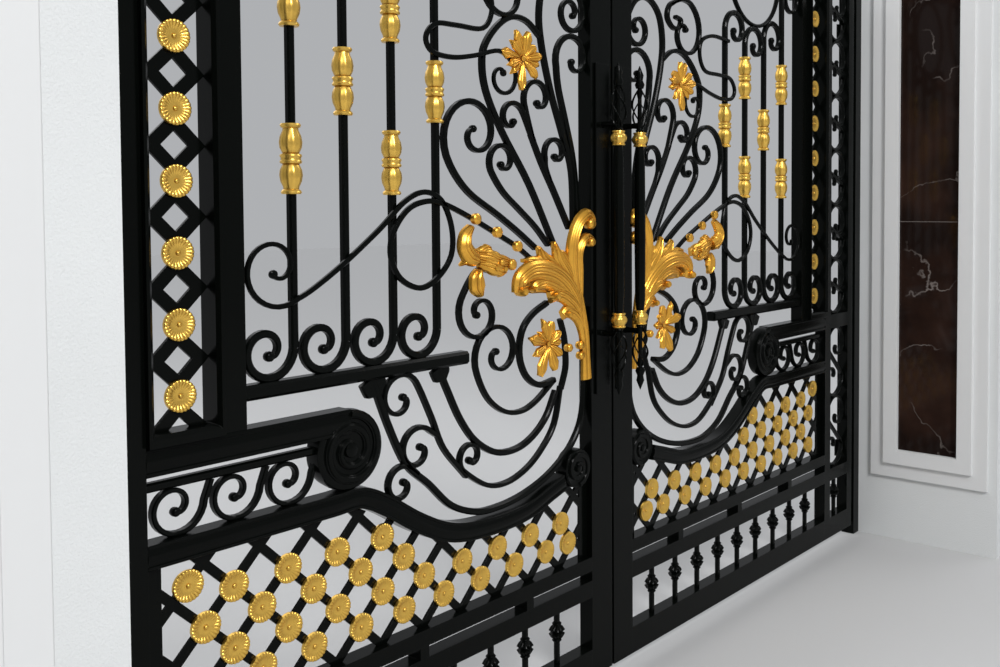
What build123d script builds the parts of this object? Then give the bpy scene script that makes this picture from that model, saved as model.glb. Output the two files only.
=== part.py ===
from build123d import *
from math import atan2, cos, degrees, hypot, radians, sin, sqrt
import os

# Driving sizes, in millimetres
# Gate coordinates: x = 0 on the meeting line, y = 0 on the street face of the leaves,
# z = 0 at the foot of the pillars. One leaf is drawn towards +x and mirrored.
GROUND_GAP = 50
LEAF_WIDTH = 1829
LEAF_DEPTH = 50
LEAF_HEIGHT = 2700
ARCH_RADIUS = 7700
MEETING_GAP = 10
MEETING_STILE = 103
HINGE_STILE = 50
SIDE_STILE = 55
SIDE_STRIP = 176
LATTICE_STRIP = 140
INNER_STILE = 60
STRIP_MOULDING = 15
STRIP_MOULDING_PROUD = 15
STRIP_BEVEL = 8
BOTTOM_RAIL = 88
BALUSTER_OPENING = 168
SECOND_RAIL = 54
SPACER_WIDTH = 30
SPACER_HEIGHT = 31
SPACER_PITCH = 412
THIRD_RAIL = 44
TOP_RAIL = 50

WAIST_RAIL_TOP = 1006
WAIST_RAIL = 61
STRIP_SILL = 25
THIN_RAIL = 20
THIN_RAIL_GAP = 15
THIN_RAIL_LENGTH = 411
BAR_RAIL_TOP = 1100
BAR_RAIL = 35
BAR_RAIL_SETBACK = 4
BAND_TOP = 806
BAND = 52

VOLUTE_RADIUS = 96
VOLUTE_PLACE = 512
VOLUTE_TURN = 540
VOLUTE_RIB = 20
VOLUTE_PROUD = 6
SMALL_VOLUTE_RADIUS = 60
SMALL_VOLUTE_HEIGHT = 681
GRACE_PITCH = 137
GRACE_PLACE = 71

BAR = 20
BAR_PITCH = 149
FIRST_BAR = 140
FOOT_CURL = 72
CROOK = 76
CROOK_HEIGHT = 2166
LOW_CROOK_DROP = 40
SCROLL_WIDTH = 14
STEM = 18
SCROLL_TIP = 10
SCROLL_DEPTH = 20
OVERLAY_DEPTH = 12
ROW_SETBACK = 14
FACET_TURN = 60
SIDE_TURN = 45
UPPER_SIDE_SCROLLS = 6
LOWER_SIDE_SCROLLS = 2
LATTICE_BAR = 21
LATTICE_DEPTH = 8
LATTICE_PITCH = 138.6
LATTICE_FIRST = 65
SWELL_END = 870
INNER_FRAME = 38
RING_BAR = 28
STRIP_ROSETTE_HEIGHT = 1100
STRIP_ROSETTE_PITCH = 150
ROSETTE = 70
ROSETTE_SIDES = 6
ROSETTE_DEPTH = 8
COLLAR_HEIGHT = 162
COLLAR = 56
HIGH_COLLARS = (1606, 1990)
MIDDLE_COLLAR = 1797
FLOWER = 86
PETALS = 6
CASTING_DEPTH = 28
UPPER_FLOWER = (405, 1922)
LOWER_FLOWER = (325, 1078)
BALUSTER = 18
BALUSTER_COUNT = 9
KNOT = 38
KNOT_HEIGHT = 26

BACKPLATE = 70
BACKPLATE_DEPTH = 8
HANDLE_MIDDLE = 1422
HANDLE_LENGTH = 1043
HANDLE_KNOBS = 569
HANDLE_GRIP = 36
HANDLE_KNOB = 52
HANDLE_REACH = 70
HANDLE_ARM = 20

HINGE_AXIS_BEHIND = 12
HINGE_GAP = 27
HINGE_RADIUS = 11
HINGE_LENGTH = 150
HINGE_HEIGHTS = (330, 1330, 2250)
HINGE_CLEARANCE = 0.5
HINGE_PLATE = 8
HINGE_STRAP = 60

JAMB_WIDTH = 55
JAMB_DEPTH = 60
JAMB_HEIGHT = 2750

PILLAR_WIDTH = 700
PILLAR_DEPTH = 750
PILLAR_HEIGHT = 3050
PILLAR_FRONT = 640
CAP_HEIGHT = 150
CAP_OVERHANG = 60
PANEL_MARGIN = 106
REVEAL_MARGIN = 40
REVEAL_PANEL = 535
PANEL_FOOT = 290
PANEL_TOP = 2650
MOULDING_WIDTH = 130
MOULDING_STEP = 65
MOULDING_OUTER = 15
MOULDING_INNER = 30
MARBLE_PROUD = 6

# Worked-out places on one leaf: u from the meeting line, v up from the leaf's foot
MEETING_EDGE = MEETING_GAP / 2
FIELD_START = MEETING_EDGE + MEETING_STILE
LEAF_END = MEETING_EDGE + LEAF_WIDTH
STRIP_END = LEAF_END - HINGE_STILE
STRIP_START = STRIP_END - SIDE_STRIP
SIDE_STILE_START = STRIP_START - SIDE_STILE
LATTICE_STRIP_END = SIDE_STILE_START - STRIP_MOULDING
LATTICE_STRIP_START = LATTICE_STRIP_END - LATTICE_STRIP
FIELD_END = LATTICE_STRIP_START - STRIP_MOULDING - INNER_STILE
SECOND_RAIL_FOOT = BOTTOM_RAIL + BALUSTER_OPENING
SECOND_RAIL_TOP = SECOND_RAIL_FOOT + SECOND_RAIL
THIRD_RAIL_FOOT = SECOND_RAIL_TOP + SPACER_HEIGHT
THIRD_RAIL_TOP = THIRD_RAIL_FOOT + THIRD_RAIL
WAIST_RAIL_FOOT = WAIST_RAIL_TOP - WAIST_RAIL
STRIP_FOOT = WAIST_RAIL_TOP + STRIP_SILL
THIN_RAIL_TOP = WAIST_RAIL_FOOT - THIN_RAIL_GAP
THIN_RAIL_FOOT = THIN_RAIL_TOP - THIN_RAIL
BAR_RAIL_FOOT = BAR_RAIL_TOP - BAR_RAIL
BAND_FOOT = BAND_TOP - BAND
BAND_MIDDLE = BAND_TOP - BAND / 2
BAR_FRONT = (LEAF_DEPTH - BAR) / 2
BAR_BACK = (LEAF_DEPTH + BAR) / 2
SCROLL_FRONT = (LEAF_DEPTH - SCROLL_DEPTH) / 2
SCROLL_BACK = SCROLL_FRONT + SCROLL_DEPTH
OVERLAY_FRONT = BAR_FRONT - OVERLAY_DEPTH
LATTICE_FRONT = (LEAF_DEPTH - LATTICE_DEPTH) / 2
MIDDLE_Y = LEAF_DEPTH / 2

# The ironwork is drawn full size on a pattern and stretched to the field it fills
PATTERN_START = 108
PATTERN_END = 1330
PATTERN_FOOT = 385
PATTERN_TOP = 2650


def across(u):
    share = (u - PATTERN_START) / (PATTERN_END - PATTERN_START)
    return FIELD_START + share * (FIELD_END - FIELD_START)


def up(v):
    share = (v - PATTERN_FOOT) / (PATTERN_TOP - PATTERN_FOOT)
    return THIRD_RAIL_TOP + share * (LEAF_HEIGHT - TOP_RAIL - THIRD_RAIL_TOP)


def drawn(points):
    return [(across(u), up(v)) for u, v in points]


def arch_under(u):
    return LEAF_HEIGHT - TOP_RAIL - ARCH_RADIUS + sqrt(ARCH_RADIUS**2 - u**2)


# Flat drawing helpers
def rectangle(u0, u1, v0, v1):
    return Pos((u0 + u1) / 2, (v0 + v1) / 2) * Rectangle(u1 - u0, v1 - v0)


def polygon(points):
    return make_face(Polyline(*points, close=True))


def slab(drawing, front, back):
    """Give a flat drawing its depth, from the front plane to the back plane."""
    placed = Plane.XZ.offset(-front) * drawing
    return extrude(placed, amount=back - front, dir=(0, 1, 0))


def curl(start, eye, sweep, inner, ease=1.0, turn=FACET_TURN):
    """Corners of a scroll that winds in from its start about its eye."""
    radius = hypot(start[0] - eye[0], start[1] - eye[1])
    angle = degrees(atan2(start[1] - eye[1], start[0] - eye[0]))
    count = round(abs(sweep) / turn)
    corners = []
    for number in range(count + 1):
        share = number / count
        reach = inner + (radius - inner) * (1 - share) ** ease
        turn = radians(angle + sweep * share)
        corners.append((eye[0] + reach * cos(turn), eye[1] + reach * sin(turn)))
    return corners


def ribbon(points, width=SCROLL_WIDTH, tip=None):
    """Flat outline of a bar with a mitre at each bend, narrowing to its tip."""
    tip = width if tip is None else tip
    spots = [Vector(*point) for point in points]
    runs = [(end - start).normalized() for start, end in zip(spots, spots[1:])]
    left, right = [], []
    for number, spot in enumerate(spots):
        before = runs[max(number - 1, 0)]
        after = runs[min(number, len(runs) - 1)]
        mitre = (before + after).normalized()
        half = (width + (tip - width) * number / len(runs)) / 2
        side = Vector(-mitre.Y, mitre.X) * half / mitre.dot(after)
        left.append(spot + side)
        right.insert(0, spot - side)
    return polygon(left + right)


def knob(at, radius):
    return Pos(*at) * RegularPolygon(radius, 5)


def scroll(stem, start, eye, sweep, inner=12, ease=0.6, width=SCROLL_WIDTH):
    """A stem that runs into a curl with a knob at its eye, placed on the pattern."""
    turned = curl(*drawn([start, eye]), sweep, inner, ease)
    return ribbon(drawn(stem) + turned, width, SCROLL_TIP) + knob(turned[-1], SCROLL_TIP)


# Frame of the leaf
under_arch = make_face(
    [
        Line((0, 0), (LEAF_END, 0)),
        Line((LEAF_END, 0), (LEAF_END, arch_under(LEAF_END))),
        ThreePointArc(
            (LEAF_END, arch_under(LEAF_END)),
            (LEAF_END / 2, arch_under(LEAF_END / 2)),
            (0, arch_under(0)),
        ),
        Line((0, arch_under(0)), (0, 0)),
    ]
)
stile_places = [
    (MEETING_EDGE, FIELD_START, 0),
    (FIELD_END, FIELD_END + INNER_STILE, WAIST_RAIL_TOP),
    (SIDE_STILE_START, STRIP_START, 0),
    (STRIP_END, LEAF_END, 0),
]
stiles = [rectangle(start, end, foot, LEAF_HEIGHT) & under_arch for start, end, foot in stile_places]

rails = [
    rectangle(FIELD_START, SIDE_STILE_START, 0, BOTTOM_RAIL),
    rectangle(FIELD_START, SIDE_STILE_START, SECOND_RAIL_FOOT, SECOND_RAIL_TOP),
    rectangle(FIELD_START, SIDE_STILE_START, THIRD_RAIL_FOOT, THIRD_RAIL_TOP),
    rectangle(STRIP_START, STRIP_END, 0, BOTTOM_RAIL),
    rectangle(STRIP_START, STRIP_END, SECOND_RAIL_FOOT, SECOND_RAIL_TOP),
    rectangle(STRIP_START, STRIP_END, WAIST_RAIL_FOOT, WAIST_RAIL_TOP),
]
field_middle = (FIELD_START + SIDE_STILE_START - INNER_FRAME) / 2
for number in (-1, 0, 1):
    middle = field_middle + number * SPACER_PITCH
    start, end = middle - SPACER_WIDTH / 2, middle + SPACER_WIDTH / 2
    rails.append(rectangle(start, end, SECOND_RAIL_TOP, THIRD_RAIL_FOOT))
frame = Sketch() + stiles + rails

arch_low = [(u, arch_under(u)) for u in (MEETING_EDGE, LEAF_END / 2, LEAF_END)]
arch_high = [(u, height + TOP_RAIL) for u, height in arch_low]
top_rail = make_face(
    [
        Line(arch_low[0], arch_high[0]),
        ThreePointArc(*arch_high),
        Line(arch_high[2], arch_low[2]),
        ThreePointArc(*reversed(arch_low)),
    ]
)

# Bevelled moulding, mitred round the foot and sides of the lattice strip
strip_opening = rectangle(LATTICE_STRIP_START, LATTICE_STRIP_END, STRIP_FOOT, LEAF_HEIGHT)
strip_frame = rectangle(FIELD_END + INNER_STILE, SIDE_STILE_START, WAIST_RAIL_TOP, LEAF_HEIGHT)
strip_moulding = slab((strip_frame - strip_opening) & under_arch, -STRIP_MOULDING_PROUD, LEAF_DEPTH)
bevel_mouth = Plane.XZ.offset(STRIP_MOULDING_PROUD) * rectangle(
    LATTICE_STRIP_START - STRIP_BEVEL,
    LATTICE_STRIP_END + STRIP_BEVEL,
    STRIP_FOOT - STRIP_BEVEL,
    LEAF_HEIGHT + STRIP_BEVEL,
)
strip_moulding -= extrude(bevel_mouth, amount=-STRIP_BEVEL, taper=45)

# Heavy rail that rolls up into the big volute
volute_eye = (SIDE_STILE_START - VOLUTE_PLACE, WAIST_RAIL_TOP - VOLUTE_RADIUS - 4)
volute_turn = curl(
    (volute_eye[0], WAIST_RAIL_TOP - VOLUTE_RIB), volute_eye, VOLUTE_TURN, VOLUTE_RIB, 0.9
)
volute_disc = Pos(*volute_eye) * RegularPolygon(VOLUTE_RADIUS + 4, 12)
volute_rail = rectangle(volute_eye[0], SIDE_STILE_START, WAIST_RAIL_FOOT, WAIST_RAIL_TOP) + volute_disc
volute_spiral = ribbon(volute_turn, VOLUTE_RIB, VOLUTE_RIB / 2)

# Rail under the upright bars, with the flared heads of the stems below it
bar_rail = rectangle(across(640), FIELD_END, BAR_RAIL_FOOT, BAR_RAIL_TOP)
for head, half in ((738, 38), (966, 46)):
    middle = across(head)
    bar_rail += polygon(
        [(middle - half, BAR_RAIL_FOOT), (middle + half, BAR_RAIL_FOOT), (middle - 4, BAR_RAIL_FOOT - half)]
    )

# Ogee band and its small volute against the meeting stile
band_line = [
    (SIDE_STILE_START, BAND_MIDDLE),
    (across(1010), BAND_MIDDLE),
    *drawn([(930, 740), (836, 678), (740, 628), (648, 604), (517, 596), (400, 604), (298, 634), (230, 656)]),
]
ogee_band = ribbon(band_line, BAND)
small_eye = (FIELD_START + SMALL_VOLUTE_RADIUS + 2, up(SMALL_VOLUTE_HEIGHT))
ogee_band += Pos(*small_eye) * RegularPolygon(SMALL_VOLUTE_RADIUS + 2, 10)
ogee_band -= Sketch() + stiles

# Thin rail with the row of three graceful scrolls
thin_start = SIDE_STILE_START - THIN_RAIL_LENGTH
scroll_row = rectangle(thin_start, SIDE_STILE_START, THIN_RAIL_FOOT, THIN_RAIL_TOP)
for number in range(3):
    eye = (SIDE_STILE_START - GRACE_PLACE - number * GRACE_PITCH, BAND_TOP + 62)
    turned = curl((eye[0] - 68, eye[1]), eye, 405, 13, 0.9)
    scroll_row += ribbon([(eye[0] - 84, THIN_RAIL_FOOT + 4)] + turned, SCROLL_WIDTH, 10)
    scroll_row += knob(turned[-1], 9)
scroll_row -= Sketch() + ogee_band + volute_rail

# Upright bars with a curl at the foot and a crook at the top
bar_places = [FIELD_END - FIRST_BAR - number * BAR_PITCH for number in range(4)]
upright_bars = []
for number, middle in enumerate(bar_places):
    eye = (middle + FOOT_CURL, BAR_RAIL_TOP + FOOT_CURL - 8)
    turned = curl((middle, eye[1]), eye, 405, 14, 0.8)
    bar = ribbon([(middle, eye[1] + BAR)] + turned, BAR, SCROLL_WIDTH) + knob(turned[-1], 11)
    drop = LOW_CROOK_DROP if number == 2 else 0
    head = up(CROOK_HEIGHT - drop)
    top = LEAF_HEIGHT if number == 0 else head
    bar += rectangle(middle - BAR / 2, middle + BAR / 2, eye[1], top)
    if number:
        bent = curl((middle, head), (middle + CROOK, head), -315, 16, 0.7)
        bar += ribbon([(middle, head - BAR)] + bent, BAR, SCROLL_WIDTH) + knob(bent[-1], 13)
    bar &= under_arch
    bar -= bar_rail
    upright_bars.append(bar)
for before, after in zip(range(3), range(1, 4)):
    upright_bars[after] -= upright_bars[before]

# Scrolls of the upper fan
upper_fan = Sketch() + [
    scroll([(345, 1372), (508, 1473), (620, 1535)], (688, 1608), (594, 1694), 450, 20, 1.3, 16),
    scroll([(286, 1379), (415, 1487), (495, 1548)], (524, 1586), (484, 1624), 315),
    ribbon(
        drawn([(258, 1385), (371, 1561), (485, 1709), (549, 1820), (562, 1905), (542, 1958)])
        + drawn([(490, 2012), (435, 2038), (375, 2033), (318, 1996)]),
        STEM,
        SCROLL_WIDTH,
    ),
    ribbon(drawn([(188, 1428), (257, 1538), (316, 1626), (362, 1706)]), STEM, SCROLL_WIDTH),
    scroll([(355, 1693)], (386, 1784), (332, 1812), 270, 14, 0.5),
    scroll([(350, 1687)], (395, 1768), (444, 1746), -270, 12, 0.8),
    scroll([(276, 1568), (296, 1610)], (298, 1638), (252, 1655), 270, 12, 0.5),
    scroll(
        [(166, 1454), (175, 1602), (218, 1715), (285, 1881), (318, 2010), (310, 2130)]
        + [(240, 2195), (165, 2180)],
        (118, 2118), (176, 2087), 390, 14, 0.8, STEM,
    ),
    scroll(
        [(141, 1480), (165, 1627), (203, 1756), (236, 1850)],
        (244, 1916), (162, 1946), 315, 14, 0.7, STEM,
    ),
    ribbon(
        drawn([(403, 2158), (436, 2150), (424, 2122), (385, 2119), (352, 2150), (368, 2194), (430, 2222)])
    ),
    scroll([(368, 2194), (430, 2222)], (500, 2218), (462, 2110), -360, 13, 1.0),
]
upper_fan -= Sketch() + stiles

# Big ring, whose end sweeps up to the bar rail, and the scrolls of the lower fan
lower_fan = Sketch() + [
    ribbon(
        drawn([(116, 1180), (114, 1000), (120, 890), (134, 825), (165, 774), (214, 728), (280, 689)])
        + drawn([(352, 662), (432, 644), (517, 637), (600, 644), (695, 684), (776, 760), (854, 830)])
        + drawn([(913, 944), (962, 1066)]),
        STEM,
    ),
    ribbon(
        drawn([(293, 1205), (355, 1178), (398, 1141), (416, 1090), (411, 1038), (382, 990)])
        + drawn([(330, 962), (262, 968)]),
        STEM,
    ),
    ribbon(drawn([(232, 1150), (214, 1100), (207, 1050), (207, 997), (230, 935)])),
    scroll(
        [(262, 968), (347, 915), (414, 896), (485, 908), (550, 955)],
        (592, 1030), (506, 1076), 405, 12, 0.8,
    ),
    ribbon(
        drawn([(256, 934), (299, 862), (361, 813), (434, 789), (520, 796), (600, 843), (658, 913)])
        + drawn([(705, 1000), (738, 1062)]),
        STEM,
    ),
    scroll(
        [(232, 945), (262, 835), (320, 768), (390, 722), (475, 699), (560, 711)],
        (652, 772), (620, 802), 315, 10,
    ),
    scroll([(637, 751), (721, 845), (763, 935)], (810, 1027), (872, 1004), -315, 11, 0.5),
    scroll([(748, 887)], (768, 900), (814, 860), -315, 11, 0.5),
    scroll([(815, 796)], (834, 812), (872, 779), -315, 11, 0.5),
    scroll([(533, 1312), (590, 1316)], (643, 1254), (580, 1197), -405, 12, 0.85),
]
lower_fan -= Sketch() + stiles + bar_rail + ogee_band
lower_fan -= Sketch() + upright_bars

# Long bar that loops in front of the uprights, and the wavy bar above it
long_scroll = ribbon(
    drawn(
        [(372, 1336), (511, 1412), (640, 1470), (738, 1505), (800, 1507), (855, 1485), (900, 1430)]
        + [(909, 1370), (878, 1312), (812, 1284), (749, 1308)]
    ),
    14,
)
long_scroll += scroll(
    [(812, 1284), (749, 1308), (700, 1365), (698, 1440), (733, 1510), (794, 1533), (862, 1508)]
    + [(941, 1442), (1042, 1368), (1130, 1317)],
    (1186, 1284), (1246, 1356), 405, 14, 0.9, 14,
)
wavy = scroll(
    [(742, 2113), (628, 2118), (552, 2092), (538, 2035), (575, 1985), (672, 1980), (750, 1974)]
    + [(784, 1935), (762, 1900), (690, 1893), (607, 1907), (510, 1931)],
    (458, 1906), (497, 1860), 315, 12, 0.7,
)


# Lattice of flat bar, fused where the bars cross
def lattice(u0, u1, v0, v1, middle, foot, pitch):
    """Diagonal bars through a net of crossings, clipped to a rectangle."""
    reach = (u1 - u0) + (v1 - v0)
    count = int(reach / pitch) + 2
    bars = []
    for lean in (45, -45):
        for number in range(-count, count + 1):
            bar = Rot(0, 0, lean) * Rectangle(LATTICE_BAR, 3 * reach)
            bars.append(Pos(middle + number * pitch, foot) * bar)
    return (Sketch() + bars) & rectangle(u0, u1, v0, v1)


lattice_start = FIELD_START + INNER_FRAME
lattice_end = SIDE_STILE_START - INNER_FRAME
row_step = LATTICE_PITCH / 2
first_row = THIRD_RAIL_TOP + row_step
first_crossing = FIELD_START + LATTICE_FIRST
below_band = polygon(
    [(FIELD_START, up(SMALL_VOLUTE_HEIGHT)), (FIELD_START, THIRD_RAIL_TOP)]
    + [(SIDE_STILE_START, THIRD_RAIL_TOP)]
    + band_line
)
net = lattice(lattice_start, lattice_end, THIRD_RAIL_TOP, BAND_TOP, first_crossing, first_row, LATTICE_PITCH)
net += rectangle(FIELD_START, lattice_start, THIRD_RAIL_TOP, BAND_FOOT)
net += rectangle(lattice_end, SIDE_STILE_START, THIRD_RAIL_TOP, BAND_FOOT)
lower_lattice = (net & below_band) - ogee_band

# Strip of square rings standing on their corners, joined behind the rosettes
strip_middle = (LATTICE_STRIP_START + LATTICE_STRIP_END) / 2
strip_top = arch_under(LATTICE_STRIP_START)
ring_side = LATTICE_STRIP / sqrt(2)
ring_hole = ring_side - 2 * RING_BAR
square_ring = Rectangle(ring_side, ring_side) - Rectangle(ring_hole, ring_hole)
strip_lattice = Sketch()
height = up(STRIP_ROSETTE_HEIGHT) - STRIP_ROSETTE_PITCH / 2
while height - LATTICE_STRIP / 2 < strip_top:
    strip_lattice += Pos(strip_middle, height) * Rot(0, 0, 45) * square_ring
    join_height = height + STRIP_ROSETTE_PITCH / 2
    strip_lattice += rectangle(strip_middle - 12, strip_middle + 12, join_height - 16, join_height + 16)
    height += STRIP_ROSETTE_PITCH
strip_lattice &= rectangle(LATTICE_STRIP_START, LATTICE_STRIP_END, STRIP_FOOT, LEAF_HEIGHT)
strip_lattice &= under_arch

# Rosettes at the crossings
rosette_places = []
for row in range(4):
    shift = row % 2 * row_step
    for column in range(11):
        middle = first_crossing + shift + column * LATTICE_PITCH
        middle = max(middle, lattice_start + ROSETTE * 0.9)
        under_swell = row > 1 and middle < across(SWELL_END) + (row - 2) * row_step
        if middle < lattice_end - ROSETTE / 2 and not under_swell:
            rosette_places.append((middle, first_row + row * row_step))
rosette_places.append((lattice_end - ROSETTE * 0.8, BAND_FOOT - ROSETTE * 0.85))
strip_height = up(STRIP_ROSETTE_HEIGHT)
while strip_height < strip_top - ROSETTE / 2:
    rosette_places.append((strip_middle, strip_height))
    strip_height += STRIP_ROSETTE_PITCH
rosettes = []
for place in rosette_places:
    seat = Plane.XZ.offset(-LATTICE_FRONT) * Pos(*place) * RegularPolygon(ROSETTE / 2, ROSETTE_SIDES)
    rosettes.append(extrude(seat, amount=ROSETTE_DEPTH, taper=25))


# Outer strip of S-scrolls beside the hinge stile
def s_scroll(foot, height):
    """One S-scroll as wide as the strip, that meets the next one above."""
    edge = SCROLL_WIDTH / 2
    low_eye = (STRIP_START + SIDE_STRIP * 0.38, foot + SIDE_STRIP * 0.5)
    high_eye = (STRIP_END - SIDE_STRIP * 0.38, foot + height - SIDE_STRIP * 0.5)
    lower = curl((STRIP_END - edge, low_eye[1]), low_eye, -270, 20, 0.75, SIDE_TURN)
    upper = curl((STRIP_START + edge, high_eye[1]), high_eye, -270, 20, 0.75, SIDE_TURN)
    return ribbon(lower[::-1] + upper, SCROLL_WIDTH)


upper_height = (arch_under(STRIP_START) - WAIST_RAIL_TOP) / UPPER_SIDE_SCROLLS
lower_height = (WAIST_RAIL_FOOT - SECOND_RAIL_TOP) / LOWER_SIDE_SCROLLS
side_scrolls = Sketch()
for number in range(UPPER_SIDE_SCROLLS):
    side_scrolls += s_scroll(WAIST_RAIL_TOP + number * upper_height, upper_height)
for number in range(LOWER_SIDE_SCROLLS):
    side_scrolls += s_scroll(SECOND_RAIL_TOP + number * lower_height, lower_height)
side_scrolls &= under_arch
side_scrolls -= frame

# Ring between the crooks and the arched rail, and the scrolls beside it
crown_middle = across(966)
crown_foot = up(2203)
crown_radius = (arch_under(crown_middle) - crown_foot) / 2
crown = Pos(crown_middle, crown_foot + crown_radius) * (
    RegularPolygon(crown_radius + 6, 12) - RegularPolygon(crown_radius - 12, 12)
)
crown += scroll([(430, 2226), (520, 2290), (610, 2380)], (640, 2470), (560, 2552), 315, 16, 1.0, 14)
crown += scroll([(450, 2226), (340, 2290), (240, 2380)], (200, 2480), (280, 2560), -315, 16, 1.0, 14)
crown += scroll([(1120, 2560), (1220, 2500), (1290, 2430)], (1322, 2370), (1262, 2350), -315, 14)
crown &= under_arch
crown -= Sketch() + upright_bars + upper_fan + frame

# Bodies with depth
def turned(profile, at, axis_y):
    """A six-sided turned shape, from heights and radii: its silhouette crossed with itself."""
    outline = [(radius, height) for height, radius in profile]
    outline += [(-radius, height) for radius, height in reversed(outline)]
    widest = 2 * max(radius for height, radius in profile)
    silhouette = slab(polygon(outline), -widest, widest)
    crossed = silhouette & Rot(0, 0, 60) * silhouette & Rot(0, 0, 120) * silhouette
    return Pos(at[0], axis_y, at[1]) * crossed


leaf = {}
leaf["stiles"] = [slab(piece, 0, LEAF_DEPTH) for piece in stiles] + [strip_moulding]
leaf["rails"] = [slab(piece, 0, LEAF_DEPTH) for piece in rails]
leaf["top_rail"] = [slab(top_rail, 0, LEAF_DEPTH)]
big_volute = slab(volute_rail, 0, LEAF_DEPTH) + slab(volute_spiral, -VOLUTE_PROUD, 0)
leaf["volute_rail"] = [big_volute, slab(bar_rail, BAR_RAIL_SETBACK, LEAF_DEPTH - BAR_RAIL_SETBACK)]
leaf["ogee_band"] = [slab(ogee_band, 0, LEAF_DEPTH)]
leaf["scroll_row"] = [slab(scroll_row, ROW_SETBACK, LEAF_DEPTH - ROW_SETBACK)]
leaf["upright_bars"] = [slab(piece, BAR_FRONT, BAR_BACK) for piece in upright_bars]
leaf["lower_fan"] = [slab(lower_fan, SCROLL_FRONT, SCROLL_BACK)]
leaf["upper_fan"] = [slab(upper_fan, SCROLL_FRONT, SCROLL_BACK)]
leaf["lower_lattice"] = [slab(lower_lattice - lower_fan, LATTICE_FRONT, LATTICE_FRONT + LATTICE_DEPTH)]
leaf["strip_lattice"] = [slab(strip_lattice, LATTICE_FRONT, LATTICE_FRONT + LATTICE_DEPTH)]
leaf["rosettes"] = rosettes
leaf["side_scrolls"] = [slab(side_scrolls, SCROLL_FRONT, SCROLL_BACK)]
leaf["crown_scrolls"] = [slab(crown, SCROLL_FRONT, SCROLL_BACK)]

balusters = []
bay = (SIDE_STILE_START - FIELD_START) / (BALUSTER_COUNT + 1)
baluster_places = [FIELD_START + bay * (number + 1) for number in range(BALUSTER_COUNT)]
baluster_places.append((STRIP_START + STRIP_END) / 2)
for place in baluster_places:
    middle = Pos(place, MIDDLE_Y, BOTTOM_RAIL + BALUSTER_OPENING / 2)
    knot = Pos(0, 0, BALUSTER_OPENING / 10) * Box(KNOT, KNOT, KNOT_HEIGHT)
    balusters.append(middle * (Box(BALUSTER, BALUSTER, BALUSTER_OPENING) + knot))
leaf["balusters"] = balusters

collar_profile = [
    (-COLLAR_HEIGHT / 2, COLLAR * 0.38),
    (-COLLAR_HEIGHT / 3, COLLAR * 0.5),
    (0, COLLAR * 0.36),
    (COLLAR_HEIGHT / 3, COLLAR * 0.5),
    (COLLAR_HEIGHT / 2, COLLAR * 0.38),
]
collars = []
for number, place in enumerate(bar_places):
    for height in HIGH_COLLARS if number % 2 == 0 else (MIDDLE_COLLAR,):
        collar = turned(collar_profile, (place, up(height)), MIDDLE_Y)
        collars.append(collar - Pos(place, MIDDLE_Y, up(height)) * Box(BAR, BAR, 2 * COLLAR_HEIGHT))
leaf["bar_collars"] = collars

# Gilt castings: the acanthus spray, the bellflower and the flowers of pointed petals
def flower(at):
    """A star of pointed petals, from its long tips and the notches between them."""
    u, v = drawn([at])[0]
    tips = []
    for number in range(2 * PETALS):
        turn = radians(90 + 180 * number / PETALS)
        reach = FLOWER if number % 2 == 0 else FLOWER * 0.62
        tips.append((u + reach * cos(turn), v + reach * sin(turn)))
    return polygon(tips)


upper_flower = flower(UPPER_FLOWER)
lower_flower = flower(LOWER_FLOWER)
acanthus = polygon(
    drawn(
        [(100, 958), (150, 962), (155, 1045), (175, 1110), (235, 1160), (300, 1205), (330, 1250)]
        + [(437, 1233), (472, 1253), (455, 1300), (403, 1340), (356, 1366), (309, 1362), (285, 1386)]
        + [(235, 1358), (217, 1407), (187, 1453), (145, 1479), (100, 1466), (113, 1438), (150, 1410), (105, 1385)]
        + [(150, 1345), (148, 1249), (129, 1182), (107, 1036)]
    )
)
acanthus -= rectangle(0, FIELD_START, 0, LEAF_HEIGHT)
rib_lines = [
    [(125, 975), (140, 1100), (180, 1240), (178, 1350), (165, 1420), (130, 1455)],
    [(135, 1060), (190, 1200), (240, 1290), (280, 1350)],
    [(140, 1080), (210, 1190), (300, 1280), (380, 1300), (440, 1260)],
]
long_scroll -= acanthus
wavy -= upper_flower
leaf["long_scroll"] = [slab(long_scroll, OVERLAY_FRONT, BAR_FRONT), slab(wavy, OVERLAY_FRONT, BAR_FRONT)]
spray = slab(acanthus, SCROLL_FRONT - CASTING_DEPTH, SCROLL_FRONT)
for line in rib_lines:
    rib = ribbon(drawn(line), 26, 12)
    spray += slab(rib, SCROLL_FRONT - 1.5 * CASTING_DEPTH, SCROLL_FRONT - CASTING_DEPTH)
leaf["acanthus_leaf"] = [spray]


bellflower = polygon(
    drawn(
        [(664, 1425), (624, 1452), (612, 1396), (584, 1366), (486, 1353), (461, 1339), (468, 1318)]
        + [(548, 1300), (591, 1262), (610, 1320), (655, 1340)]
    )
)
castings = [
    slab(bellflower, SCROLL_FRONT - CASTING_DEPTH, SCROLL_FRONT),
]
for drawing, place in ((upper_flower, UPPER_FLOWER), (lower_flower, LOWER_FLOWER)):
    heart = knob(drawn([place])[0], FLOWER * 0.3)
    casting = slab(drawing, SCROLL_FRONT - CASTING_DEPTH * 0.6, SCROLL_FRONT)
    castings.append(casting + slab(heart, SCROLL_FRONT - CASTING_DEPTH, SCROLL_FRONT))
for place in drawn([(619, 1461), (535, 1423), (452, 1381)]):
    castings.append(slab(knob(place, 16), OVERLAY_FRONT - 14, OVERLAY_FRONT))
leaf["gilt_flowers"] = castings

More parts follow.
